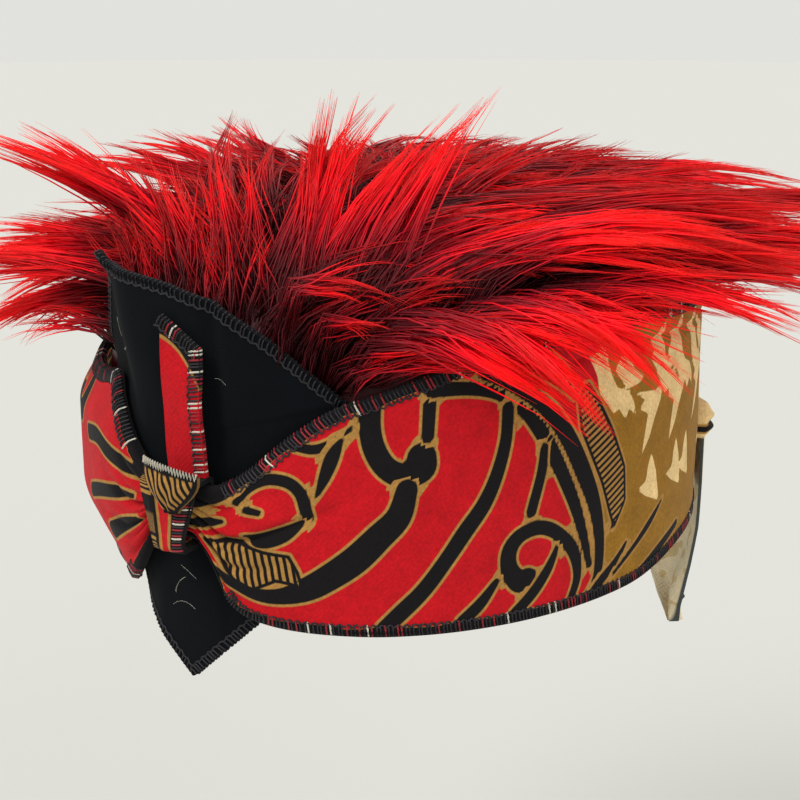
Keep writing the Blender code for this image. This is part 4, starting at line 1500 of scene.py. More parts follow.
@dataclass(frozen=True)
class FeltPanel:
    """The black felt kite behind the knot, with a curled tip and a soft crease."""

    shape: FeltShape = FeltShape()
    columns: int = 112
    rows: int = 104
    tip_curl: float = 3.2 * MM
    crease_at: float = 7.6
    crease_depth: float = 1.3 * MM
    step_from: float = 53.0
    step_rise: float = 0.37
    step_depth: float = 2.4 * MM
    flat: tuple[float, float] = (0.107, 0.109)
    flat_area: float = 0.0074

    def offset(self, degrees: ndarray, height: ndarray) -> ndarray:
        """Offset of the felt's outer face with its curl, crease, seam and slack.

        Args:
            degrees: Angles round the head.
            height: Heights in metres.

        Returns:
            Offsets.
        """
        tall = height / MM
        tip = ease((tall - 84) / 9) * ease((-12.5 - degrees) / 5)
        crease = np.exp(-(((degrees - self.crease_at) / 1.5) ** 2)) * ease((tall - 40) / 10)
        step = ease((self.step_from + self.step_rise * (degrees - 8) - tall) / 0.8)
        step = step * ease((degrees - 6) / 3) * self.step_depth
        slack = 0.5 * MM * np.sin(0.16 * tall + 0.11 * degrees) * np.sin(0.21 * degrees + 0.7)
        slack = slack * ease((tall - 48) / 12)
        base = self.shape.offset(degrees, height)
        return base + self.tip_curl * tip - self.crease_depth * crease * 0.8 + slack - 0.25 * step

    def place(self, arc: ndarray, tall: ndarray, lift: ndarray) -> ndarray:
        """Points on the felt from places in millimetres.

        Args:
            arc: Lengths along the oval.
            tall: Heights.
            lift: Distances off the cloth, in metres.

        Returns:
            The points.
        """
        table = np.linspace(-60, 60, 961)
        degrees = np.interp(arc, self.shape.band.oval.arc_mm(table), table)
        return self.shape.band.oval.point(degrees, self.offset(degrees, tall * MM) + lift, tall * MM)

    def lint(self, finish: Material) -> Object:
        """A few pale hairs that cling to the felt.

        Args:
            finish: The finish.

        Returns:
            The piece.
        """
        chance = np.random.default_rng(31)
        middle = np.array([(-14.0, 72.0)] * 2 + [(-4.0, 8.0)] * 4 + [(10.0, 62.0)])
        middle = middle + chance.normal(0, 1, middle.shape) * (2.5, 4.0)
        turn = chance.uniform(0, math.pi, (len(middle), 1))
        run = np.linspace(-1, 1, 6)[None] * chance.uniform(1.5, 4.0, (len(middle), 1))
        bow = chance.normal(0, 0.12, (len(middle), 1)) * run**2
        arc = self.shape.band.oval.arc_mm(middle[:, :1]) + run * np.cos(turn) - bow * np.sin(turn)
        tall = middle[:, 1:] + run * np.sin(turn) + bow * np.cos(turn)
        paths = self.place(arc, tall, np.full(arc.shape, 0.25 * MM))
        points, faces = tubes(paths, np.full(paths.shape[:2], 0.035 * MM), 3)
        return mesh_piece("felt_lint", points, faces, finish, {"dye": np.full(len(points), Dye.PALE)})

    def edges(self) -> list[ndarray]:
        """The upper edge from the tip to the wearer's left, and the lower one, cloth on the left.

        Returns:
            The edges' places.
        """
        oval = self.shape.band.oval
        right = np.linspace(-17.5, 41.5, 120)
        left = np.linspace(-27.8, -17.5, 24)
        down = np.linspace(-24, 40, 130)
        upper = np.stack([oval.arc_mm(right), self.shape.top(right) / MM - 0.2], -1)
        side = np.stack([oval.arc_mm(left), self.shape.top(left) / MM - 0.2], -1)
        lower = np.stack([oval.arc_mm(down), self.shape.bottom(down) / MM + 0.2], -1)
        return [upper[::-1], side[::-1], lower]

    def build(self, finishes: Weaver) -> list[Object]:
        """Make the felt and its stitches.

        Args:
            finishes: The shared finishes.

        Returns:
            The pieces.
        """
        degrees = np.linspace(FELT_ROWS[0].degrees, FELT_ROWS[-1].degrees, self.columns)[:, None]
        share = np.linspace(0, 1, self.rows)[None]
        height = blend(self.shape.bottom(degrees), self.shape.top(degrees), share)
        face = self.offset(degrees, height)
        oval = self.shape.band.oval
        outer = oval.point(degrees, face, height)
        inner = oval.point(degrees, face - self.shape.wall, height)
        cloth = sheet_piece("felt_panel", outer, inner, False, finishes.felt, {})
        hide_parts("front_panel")
        stitch = Serging(pitch_mm=1.3, depth_mm=2.4, shares=(1.0, 0.0, 0.0), seed=8)
        stitches = stitch.build("felt_serging", self.place, self.edges(), self.shape.wall, finishes.thread)
        lint = self.lint(finishes.thread)
        return [cloth, stitches, lint]


@dataclass(frozen=True)
class FrontKnot:
    """The wrap round the gathered neck, the shield-shaped fold on it and the upright end."""

    felt: FeltShape = FeltShape()
    prints: BatikPrint = BatikPrint()
    wrap_wall: float = 1.2 * MM
    clearance: float = 1.0 * MM
    wrap_half_widths: tuple[float, float] = (4.2 * MM, 7.6 * MM)
    wrap_aside: float = 2.6 * MM
    neck: tuple[float, float] = (23.8 * MM, 38.0 * MM)
    fold_heights: tuple[float, float] = (33.6 * MM, 44.6 * MM)
    fold_half_width: float = 7.0 * MM
    fold_aside: float = 5.8 * MM
    fold_slant: float = 1.3 * MM
    fold_bulge: float = 3.0 * MM
    tail_wall: float = 1.6 * MM
    tail_low: float = 40.4 * MM
    tail_tops: tuple[float, float] = (80.5 * MM, 73.0 * MM)
    tail_span: tuple[float, float] = (-0.6, 6.6)

    def front(self, across: ndarray, offset: ndarray, height: ndarray) -> ndarray:
        """Points at the front, placed by how far aside of the middle they are."""
        oval = self.felt.band.oval
        return oval.point(np.degrees(across / oval.half_width), offset, height)

    def middle(self) -> float:
        """Offset of the neck's middle from the oval."""
        band = self.felt.band
        return band.stand_off - band.wall + (band.wall + band.bunch) / 2

    def seat(self) -> float:
        """Offset of the wrap's outer face from the oval."""
        band = self.felt.band
        return self.middle() + (band.wall + band.bunch) / 2 + self.clearance + self.wrap_wall

    def oblong(self, turn: ndarray, depth: ndarray, rise: ndarray) -> tuple[ndarray, ndarray]:
        """Offsets and heights of a rounded oblong round the neck."""
        c, s = np.cos(2 * math.pi * turn), np.sin(2 * math.pi * turn)
        return depth * np.sign(c) * np.abs(c) ** 0.25, rise * np.sign(s) * np.abs(s) ** 0.25

    def wrap(self, finish: Material) -> Object:
        """The strip wound round the neck, with lengthwise wrinkles and a hatched rim.

        Args:
            finish: The finish.

        Returns:
            The piece.
        """
        band = self.felt.band
        turn = np.linspace(0, 1, 120, endpoint=False)[:, None]
        side = np.linspace(-1, 1, 25)[None]
        depth = (band.wall + band.bunch) / 2 + self.clearance
        rise = (self.neck[1] - self.neck[0]) / 2 + self.clearance
        level = sum(self.neck) / 2
        near, up = self.oblong(turn, depth, rise)
        half = blend(*self.wrap_half_widths, ease(0.5 + 0.5 * up / rise))
        wrinkle = 0.28 * MM * np.sin(7.5 * side + 3 * np.sin(2 * math.pi * turn)) * (1 - side**2)
        crown = 0.7 * MM * (1 - side**2) * ease(near / depth) + np.maximum(wrinkle, -0.2 * MM)
        far, top = self.oblong(turn, depth + self.wrap_wall + crown, rise + self.wrap_wall)
        aside = self.wrap_aside + half * side
        near, up = np.broadcast_to(near, aside.shape), np.broadcast_to(up, aside.shape)
        outer = self.front(aside, self.middle() + far, level + top)
        inner = self.front(aside, self.middle() + near, level + up)
        values = self.prints.plain(aside / MM, np.broadcast_to(turn * 52.0, aside.shape))
        values["leaf"] = (side + 0.38) * half / MM + 0 * turn
        values["ink"] = (0.34 - side) * half / MM + 0 * turn
        return sheet_piece("knot_wrap_cloth", outer, inner, True, finish, values)

    def wrap_stitches(self, finish: Material) -> Object:
        """Overlock threads across the wrap's serged side, on its front.

        Args:
            finish: The finish.

        Returns:
            The piece.
        """
        rise = (self.neck[1] - self.neck[0]) / 2 + self.clearance
        up = np.linspace(-1.02, 0.55, 17)[:, None] * rise
        half = blend(*self.wrap_half_widths, ease(0.5 + 0.5 * up / rise))
        side = np.array([0.30, 0.55, 0.80, 1.0])[None]
        lift = np.array([0.0, 0.45, 0.15, -0.7])[None] * MM
        level = sum(self.neck) / 2 + up + 0.35 * MM * side
        paths = self.front(self.wrap_aside + half * side, self.seat() + 0.3 * MM + lift, level)
        points, faces = tubes(paths, np.full(paths.shape[:2], 0.26 * MM), 5)
        dye = np.repeat(np.resize([Dye.RED, Dye.DARK, Dye.RED, Dye.DARK, Dye.PALE], 17), 4 * 5)
        return mesh_piece("knot_wrap_stitches", points, faces, finish, {"dye": dye})

    def fold(self, finish: Material) -> Object:
        """The fold that bulges over the wrap's upper half, hatched black and gold.

        Args:
            finish: The finish.

        Returns:
            The piece.
        """
        seat = self.seat() + 0.7 * MM + self.felt.gap
        side = np.linspace(-1, 1, 31)[:, None]
        share = np.linspace(0, 1, 31)[None]
        height = blend(*self.fold_heights, share) - self.fold_slant * side * share
        half = self.fold_half_width * np.sqrt(blend(0.08, 1.0, ease(share * 1.15)))
        aside = self.fold_aside + half * side
        swell = np.sin(math.pi * blend(0.12, 0.86, share))
        bulge = self.fold_bulge * np.sqrt(np.maximum(0, 1 - side**2)) * swell
        pleat = 0.35 * MM * np.sin(9 * side - 5 * share) * (1 - side**2)
        outer = self.front(aside, seat + 1.0 * MM + bulge + pleat, height)
        inner = self.front(aside, np.broadcast_to(seat, aside.shape), height)
        values = self.prints.plain(aside / MM, height / MM)
        values["leaf"] = np.maximum((np.abs(side) - 1) * half / MM, -7.0 * np.minimum(share, 1 - share) - 0.2)
        values["hatch"] = 0.45 * height / MM + 1.25 * aside / MM
        return sheet_piece("knot_fold_cloth", outer, inner, False, finish, values)

    def fold_stitches(self, finish: Material) -> Object:
        """Pale zigzag thread along the fold's upper edge.

        Args:
            finish: The finish.

        Returns:
            The piece.
        """
        seat = self.seat() + 0.7 * MM + self.felt.gap + 1.0 * MM
        side = np.linspace(-0.98, 0.98, 40)
        rise = np.tile([-0.6, 1.1], 20) * MM
        swell = self.fold_bulge * np.sqrt(1 - side**2) * math.sin(0.86 * math.pi)
        height = self.fold_heights[1] - self.fold_slant * side + rise
        path = self.front(self.fold_aside + self.fold_half_width * side, seat + swell + 0.1 * MM, height)
        points, faces = tubes(path[None], np.full((1, 40), 0.3 * MM), 5)
        dye = np.full(len(points), Dye.PALE)
        return mesh_piece("knot_fold_stitches", points, faces, finish, {"dye": dye})

    def tail_place(self, arc: ndarray, tall: ndarray, lift: ndarray) -> ndarray:
        """Points on the upright end from places in millimetres.

        Args:
            arc: Lengths along the oval.
            tall: Heights.
            lift: Distances off the cloth, in metres.

        Returns:
            The points.
        """
        oval = self.felt.band.oval
        table = np.linspace(-12, 14, 261)
        degrees = np.interp(arc, oval.arc_mm(table), table)
        across = (degrees - self.tail_span[0]) / (self.tail_span[1] - self.tail_span[0])
        top = blend(*self.tail_tops, across)
        height = tall * MM
        share = np.clip((height - self.tail_low) / (top - self.tail_low), 0, 1)
        behind = np.maximum(self.felt.offset(degrees, height), -0.6 * MM) + self.felt.gap
        behind = behind + 1.6 * MM * np.sin(math.pi * share)
        wave = 0.5 * MM * np.sin(0.2 * tall + 2.0 * across) * np.sin(math.pi * share)
        roll = 0.9 * MM * ease((share - 0.8) / 0.2) * ease(across)
        return oval.point(degrees, behind + self.tail_wall + wave + roll + lift, height)

    def tail(self, finish: Material) -> Object:
        """The upright end: red, with its folded tip showing the black of the print.

        Args:
            finish: The finish.

        Returns:
            The piece.
        """
        across = np.linspace(0, 1, 22)[:, None]
        share = np.linspace(0, 1, 72)[None]
        oval = self.felt.band.oval
        arc = oval.arc_mm(blend(*self.tail_span, across))
        top = blend(*self.tail_tops, across) / MM
        tall = blend(self.tail_low / MM, top, share)
        arc = np.broadcast_to(arc, tall.shape)
        outer = self.tail_place(arc, tall, np.zeros(tall.shape))
        inner = self.tail_place(arc, tall, np.full(tall.shape, -self.tail_wall))
        values = self.prints.plain(arc, tall)
        line = 75.8 - 3.4 * across - 8.5 * across**2
        values["ink"] = (line - tall) * 0.75
        return sheet_piece("knot_tail_cloth", outer, inner, False, finish, values)

    def build(self, finishes: Weaver) -> list[Object]:
        """Make the three pieces and the upright end's stitches.

        Args:
            finishes: The shared finishes.

        Returns:
            The pieces.
        """
        wrap, fold, tail = self.wrap(finishes.batik), self.fold(finishes.batik), self.tail(finishes.batik)
        oval = self.felt.band.oval
        edge_degrees = np.full(40, self.tail_span[1] - 0.1)
        up = np.linspace(self.tail_low / MM + 1.5, self.tail_tops[1] / MM - 0.4, 40)
        right = np.stack([oval.arc_mm(edge_degrees), up], -1)
        across = np.linspace(0.02, 0.98, 20)
        high = np.stack(
            [oval.arc_mm(blend(*self.tail_span, across)), blend(*self.tail_tops, across) / MM - 0.2], -1
        )
        stitch = Serging(pitch_mm=0.95, depth_mm=2.8, shares=(0.5, 0.3, 0.2), seed=14)
        stitches = stitch.build(
            "knot_serging", self.tail_place, [right, high[::-1]], self.tail_wall, finishes.thread
        )
        for piece, node in ((wrap, "knot_wrap"), (fold, "knot_fold"), (tail, "knot_tail")):
            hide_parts(node)
        zigzag, bound = self.fold_stitches(finishes.thread), self.wrap_stitches(finishes.thread)
        return [wrap, fold, tail, stitches, zigzag, bound]


@dataclass(frozen=True)
class Dome:
    """The crown that the fur stands on."""

    felt: FeltShape = FeltShape()
    wall: float = 1.8 * MM
    rim: float = 66 * MM
    low_rim: float = 50 * MM
    drop: float = 7 * MM
    rise: float = 22 * MM
    base_gap: float = 0.4 * MM
    base_wall: float = 1.6 * MM
    bulk: float = 6.0 * MM
    felt_wall: float = 2.0 * MM

    def inset(self, degrees: ndarray) -> ndarray:
        """How far inside the oval the crown's rim lies.

        Args:
            degrees: Angles round the head.

        Returns:
            Distances.
        """
        turn, band = wrapped(degrees), self.felt.band
        first, last = FELT_ROWS[0].degrees, FELT_ROWS[-1].degrees
        inside_felt = ease((turn - first + 12.0) / 12.0) * ease((last + 12.0 - turn) / 12.0)
        base = band.wall + self.felt.gap + band.edge("high_tuck", turn)
        return base + (self.felt_wall + self.felt.gap) * inside_felt

    def point(self, ring: ndarray, degrees: ndarray, raised: ndarray) -> ndarray:
        """Points of the dome: ring 1 is its rim and ring 0 its middle.

        Args:
            ring: Shares of the way out.
            degrees: Angles round the head.
            raised: Heights above the dome.

        Returns:
            The points.
        """
        ring, degrees, raised = np.broadcast_arrays(ring, degrees, raised)
        rim = self.felt.band.oval.point(degrees, -self.inset(degrees), np.zeros_like(ring))
        low = np.clip(self.felt.band.edge("top", degrees) - self.drop, self.low_rim, self.rim)
        level = blend(self.rim, low, ring**6)
        height = level + self.rise * np.sqrt(np.maximum(0, 1 - ring**4)) + raised
        return np.stack([rim[..., 0] * ring, rim[..., 1] * ring, height], -1)

    def pile_top(self, ring: ndarray) -> ndarray:
        """How high the pile's packed foot stands above the crown cloth."""
        return self.wall + self.base_gap + self.base_wall + self.bulk * (1 - ring**3)

    def edge_height(self, degrees: ndarray) -> ndarray:
        """The highest edge at an angle: the band's, or the felt's above it.

        Args:
            degrees: Angles round the head.

        Returns:
            Heights.
        """
        turn = wrapped(degrees)
        top = self.felt.band.edge("top", turn)
        within = (turn >= FELT_ROWS[0].degrees) & (turn <= FELT_ROWS[-1].degrees)
        return np.where(within, np.maximum(top, self.felt.top(turn)), top)

    def cleared(self, points: ndarray, clearance: ndarray, sink: float, margin: float) -> ndarray:
        """Points moved clear of the dome and of the walls round it.

        Args:
            points: The points, with three coordinates last.
            clearance: Room left to the walls.
            sink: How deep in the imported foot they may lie.
            margin: How near inside the oval the walls' tops count.

        Returns:
            The moved points.
        """
        oval = self.felt.band.oval
        degrees, offset = oval.angle_of(points), oval.offset_of(points)
        clearance = np.broadcast_to(clearance, offset.shape)
        top = self.edge_height(degrees)
        edge = oval.point(degrees, -self.inset(degrees), np.zeros_like(offset))
        reach = np.hypot(points[..., 0], points[..., 1]) / np.hypot(edge[..., 0], edge[..., 1])
        ring = np.minimum(reach, 1.0)
        foot = self.point(ring, degrees, self.pile_top(ring))[..., 2]
        moved = points.copy()
        height = np.where(offset < 0, np.maximum(moved[..., 2], foot + clearance - sink), moved[..., 2])
        over = (offset > -margin) & (offset < clearance)
        moved[..., 2] = np.where(over, np.maximum(height, top + clearance), height)
        beside = (offset >= clearance) & (offset < clearance * 1.3) & (points[..., 2] < top + clearance)
        away = oval.point(degrees, clearance * 1.3, points[..., 2])
        return np.where(beside[..., None], away, moved)


@dataclass(frozen=True)
class FurCrown:
    """The long-pile fur: strands that follow the same locks as the solid part.

    A real strand is 0.05 mm thick. These are about 0.4 mm, so that 18,200 of them cover the crown.
    """

    dome: Dome = Dome()
    segments: int = 5
    half_width: float = 6.0 * MM
    flatness: float = 0.48
    lock_clearance: float = 1.2 * MM
    sink: float = 2.4 * MM
    margin: float = 9 * MM
    lock_seed: int = 7
    seed: int = 23
    strands: int = 18200
    points: int = 7
    tufts: int = 5
    strand_radius: float = 0.20 * MM
    pieces: tuple[str, ...] = ("fur_rear_right", "fur_front", "fur_left", "fur_rear")

    def lock_path(self, root: ndarray, heading: float, row: FurRow, length: float, half: float) -> ndarray:
        """Middle line of a lock, bending from its lift to its droop.

        Args:
            root: Where it starts.
            heading: Its heading.
            row: Its row.
            length: Its length.
            half: Its half width.

        Returns:
            Its points.
        """
        path, step = [root], length / self.segments
        clearance = np.array(half * self.flatness + self.lock_clearance)
        for i in range(self.segments):
            share = (i + 0.5) / self.segments
            pitch = math.radians(blend(row.lift, row.droop, share))
            yaw = math.radians(heading + row.turn * share)
            flat = np.array([math.sin(yaw), -math.cos(yaw), 0.0]) * math.cos(pitch)
            onward = path[-1] + (flat + np.array([0, 0, math.sin(pitch)])) * step
            point = self.dome.cleared(onward, clearance, self.sink, self.margin)
            between = (path[-1] + point) / 2
            short = self.dome.cleared(between, clearance, self.sink, self.margin)[2] - between[2]
            point[2] += max(0.0, short) * (2.0 if i else 1.0)
            path.append(point)
        return np.array(path)

    def cover_rows(self) -> list[FurRow]:
        """Rows of short strands on inner rings, combed as the rim's are, and painted dark as the shade under
        the long locks.

        Returns:
            The rows.
        """
        return [
            row._replace(
                ring=ring, count=max(2, round(row.count * share)), length_mm=30, lift=26, droop=-8,
                # Painted shade: these short strands lie under the long locks
                bright=-0.35,
            )
            for ring, share in COVER_RINGS
            for name, row in RIM_ROWS.items()
            if name != "rim_edge"
        ]

    def locks(self) -> tuple[ndarray, ndarray, ndarray]:
        """Every lock's path, half width and painted light and shade: the solid part's, in its order, and the
        rim's.

        Returns:
            Paths, half widths and painted light and shade.
        """
        chance = random.Random(self.lock_seed)
        paths, halves, bright = [], [], []
        low = self.dome.wall + self.dome.base_gap
        for row in (*FUR_ROWS.values(), *RIM_ROWS.values(), *self.cover_rows()):
            for i in range(row.count):
                share = (i + 0.5) / row.count
                degrees = blend(row.start, row.end, share) + chance.uniform(-1.5, 1.5)
                heading = blend(row.first_heading, row.last_heading, share) + chance.uniform(-7, 7)
                length = row.length_mm * MM * chance.uniform(0.86, 1.12)
                ring = row.ring * chance.uniform(0.96, 1.01)
                raised = blend(low, self.dome.pile_top(np.array(ring)), 0.45)
                root = self.dome.point(np.array(ring), np.array(degrees), raised)
                half = self.half_width * chance.uniform(0.8, 1.2)
                paths.append(self.lock_path(root, heading, row, length, half))
                halves.append(half)
                bright.append(row.bright)
        return np.array(paths), np.array(halves), np.array(bright)

    def main_locks(self) -> int:
        """How many locks the solid part has."""
        return sum(row.count for row in FUR_ROWS.values())

    def facing(self, points: ndarray) -> ndarray:
        """Which way a lock's flat side faces: up over the crown, outwards beside the band.

        Args:
            points: The points.

        Returns:
            Unit vectors.
        """
        oval = self.dome.felt.band.oval
        degrees = oval.angle_of(points)
        beside = ease((oval.offset_of(points) + 4 * MM) / (10 * MM))
        beside = beside * ease((self.dome.edge_height(degrees) + 14 * MM - points[..., 2]) / (16 * MM))
        up = np.array([0.0, 0.0, 1.0])
        return unit(up * (1 - beside[..., None]) + oval.normal(degrees) * beside[..., None])

    def along_paths(self, paths: ndarray, spots: ndarray) -> ndarray:
        """Points on the locks' paths, on a soft curve, at spots from 0 to 1 and beyond.

        Args:
            paths: The paths.
            spots: Places on them.

        Returns:
            The points.
        """
        last = paths.shape[1] - 1
        padded = np.concatenate(
            [2 * paths[:, :1] - paths[:, 1:2], paths, 2 * paths[:, -1:] - paths[:, -2:-1]], 1
        )
        place = np.clip(spots, 0, 1) * last
        cell = np.minimum(place.astype(int), last - 1)
        t = (place - cell)[..., None]
        rows = np.arange(len(paths))[:, None]
        curve = through(*(padded[rows, cell + k] for k in range(4)), t)
        beyond = np.maximum(spots - 1, 0)[..., None] * (paths[:, -1] - paths[:, -2])[:, None] * last
        return curve + beyond

    def grow(self) -> tuple[ndarray, ndarray, ndarray, ndarray]:
        """Grow the strands.

        Returns:
            Their paths, their radii, their tones and the way each one's flat side faces.
        """
        chance = np.random.default_rng(self.seed)
        paths, halves, bright = self.locks()
        lengths = np.linalg.norm(np.diff(paths, axis=1), axis=2).sum(1)
        weight = halves * lengths * np.where(np.arange(len(paths)) < self.main_locks(), 1.0, 0.6)
        weight = weight * (1 + 3.6 * np.maximum(bright, 0))
        owner = chance.choice(len(paths), self.strands, p=weight / weight.sum())
        tuft = chance.integers(0, self.tufts, self.strands)
        angle = chance.uniform(0, 2 * math.pi, (len(paths), self.tufts))
        spread = np.sqrt(chance.uniform(0.02, 1.0, (len(paths), self.tufts))) * 0.85
        tuft_spot = np.stack([np.cos(angle), np.sin(angle)], -1) * spread[..., None]
        tuft_reach = chance.uniform(0.72, 1.10, (len(paths), self.tufts))
        turn = chance.uniform(0, 2 * math.pi, self.strands)
        own = np.stack([np.cos(turn), np.sin(turn)], -1)
        own = own * np.sqrt(chance.uniform(0, 1, (self.strands, 1)))
        stray = chance.uniform(0, 1, self.strands) < 0.08
        reach = tuft_reach[owner, tuft] * chance.uniform(0.72, 1.02, self.strands)
        share = np.linspace(0, 1, self.points)[None]
        base = self.along_paths(paths[owner], share * reach[:, None])
        onward = unit(np.gradient(base, axis=1))
        facing = self.facing(base)
        side = unit(np.cross(onward, facing))
        lift = np.cross(side, onward)
        gather = np.where(stray, 0.25, 0.93)[:, None, None] * ease(share * 1.15)[..., None]
        spot = blend(own[:, None], tuft_spot[owner, tuft][:, None], gather)
        spot = spot + own[:, None] * 0.10 * share[..., None]
        width = halves[owner][:, None] * (1.35 - 0.75 * ease(share))
        width = width * np.where(stray, 1.5, 1.0)[:, None]
        bend = chance.normal(0, 5.0 * MM, (len(paths), self.tufts))[owner, tuft][:, None]
        wave = 1.9 * MM * share**1.5 * np.sin(5 * share + angle[owner, tuft][:, None] * 3)
        wave = wave + bend * share**2
        strands = base + side * (spot[..., :1] * width[..., None] + wave[..., None])
        rise = chance.normal(0.8 * MM, 2.8 * MM, (len(paths), self.tufts))[owner, tuft][:, None]
        strands = strands + lift * spot[..., 1:] * (width * self.flatness)[..., None]
        strands = strands + lift * (rise * share**2)[..., None]
        strands[:, 1:] += (
            chance.normal(0, 0.12 * MM, strands[:, 1:].shape) * share[:, 1:, None]
        )
        free = self.dome.cleared(strands, np.array(0.5 * MM), 3.0 * MM, 2.5 * MM)
        free[:, 0] = self.rooted(strands[:, 0])
        strands = free
        taper = (0.75 + 0.5 * np.sin(math.pi * share)) * (1 - 0.85 * ease((share - 0.55) / 0.45))
        radii = self.strand_radius * taper * chance.uniform(0.75, 1.25, (self.strands, 1))
        # Random tone per tuft, plus the row's painted light and shade
        lock_tone = chance.uniform(0.25, 0.80, (len(paths), self.tufts)) + bright[:, None]
        tone = np.clip(lock_tone[owner, tuft] + chance.normal(0, 0.16, self.strands), 0, 1)
        return strands, radii, tone, facing[:, self.points // 2]

    def rooted(self, roots: ndarray) -> ndarray:
        """Strand roots held inside the crown cloth's rim, on the cloth.

        Args:
            roots: The roots.

        Returns:
            The moved roots.
        """
        oval = self.dome.felt.band.oval
        degrees = oval.angle_of(roots)
        edge = oval.point(degrees, -self.dome.inset(degrees), np.zeros(len(roots)))
        ring = np.hypot(roots[:, 0], roots[:, 1]) / np.hypot(edge[:, 0], edge[:, 1])
        return self.dome.point(np.minimum(ring, 0.985), degrees, self.dome.wall + 0.6 * MM)

    def baked_map(self, piece: Object, tone: ndarray, along: ndarray) -> None:
        """A texture map where each strand lies along one column by its tone.

        Args:
            piece: The piece.
            tone: Tones of its points.
            along: Places along.
        """
        mesh = piece.data
        uv = mesh.uv_layers.new(name="OFBake")
        corner = np.empty(len(mesh.loops), np.int32)
        mesh.loops.foreach_get("vertex_index", corner)
        columns = (np.floor(tone * 63.99) + 0.5) / 64
        places = np.stack([columns[corner], 0.01 + 0.98 * along[corner]], -1)
        uv.data.foreach_set("uv", places.astype(np.float32).ravel())

    def underfur(self, finish: Material) -> Object:
        """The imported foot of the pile, a thick dark layer on the crown cloth.

        Args:
            finish: The finish.

        Returns:
            The piece.
        """
        ring = np.sin(0.5 * math.pi * np.linspace(0.0004, 1, 26))[None]
        degrees = np.linspace(0, 360, 120, endpoint=False)[:, None]
        high = self.dome.point(ring, degrees, self.dome.pile_top(ring) - 0.8 * MM)
        low = self.dome.point(ring, degrees, np.full_like(ring, self.dome.wall + self.dome.base_gap))
        columns, rows = 120, 26
        points = np.concatenate([high[:, ::-1].reshape(-1, 3), low[:, ::-1].reshape(-1, 3)])
        quads = sheet_faces(columns, rows, True)[:, ::-1]
        count = len(points)
        dark = {"along": np.full(count, 0.16), "tone": np.full(count, 0.4)}
        return mesh_piece("fur_underfur", points, [quads], finish, dark)

    def build(self, finishes: Weaver) -> list[Object]:
        """Make the strands as joined pieces, and the underfur.

        Args:
            finishes: The shared finishes.

        Returns:
            The pieces.
        """
        strands, radii, tone, facing = self.grow()
        root_angle = self.dome.felt.band.oval.angle_of(strands[:, 0])
        order = np.argsort(root_angle)
        made = [self.underfur(finishes.fur)]
        for name, chosen in zip(self.pieces, np.array_split(order, len(self.pieces))):
            points, faces = tubes(strands[chosen], radii[chosen], 3, facing[chosen])
            tones = np.repeat(tone[chosen], self.points * 3)
            along = np.tile(np.repeat(np.linspace(0, 1, self.points), 3), len(chosen))
            piece = mesh_piece(name, points, faces, finishes.fur, {"along": along, "tone": tones}, 180.0)
            self.baked_map(piece, tones, along)
            made.append(piece)
        for piece in made:
            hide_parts("fur_locks")
        return made


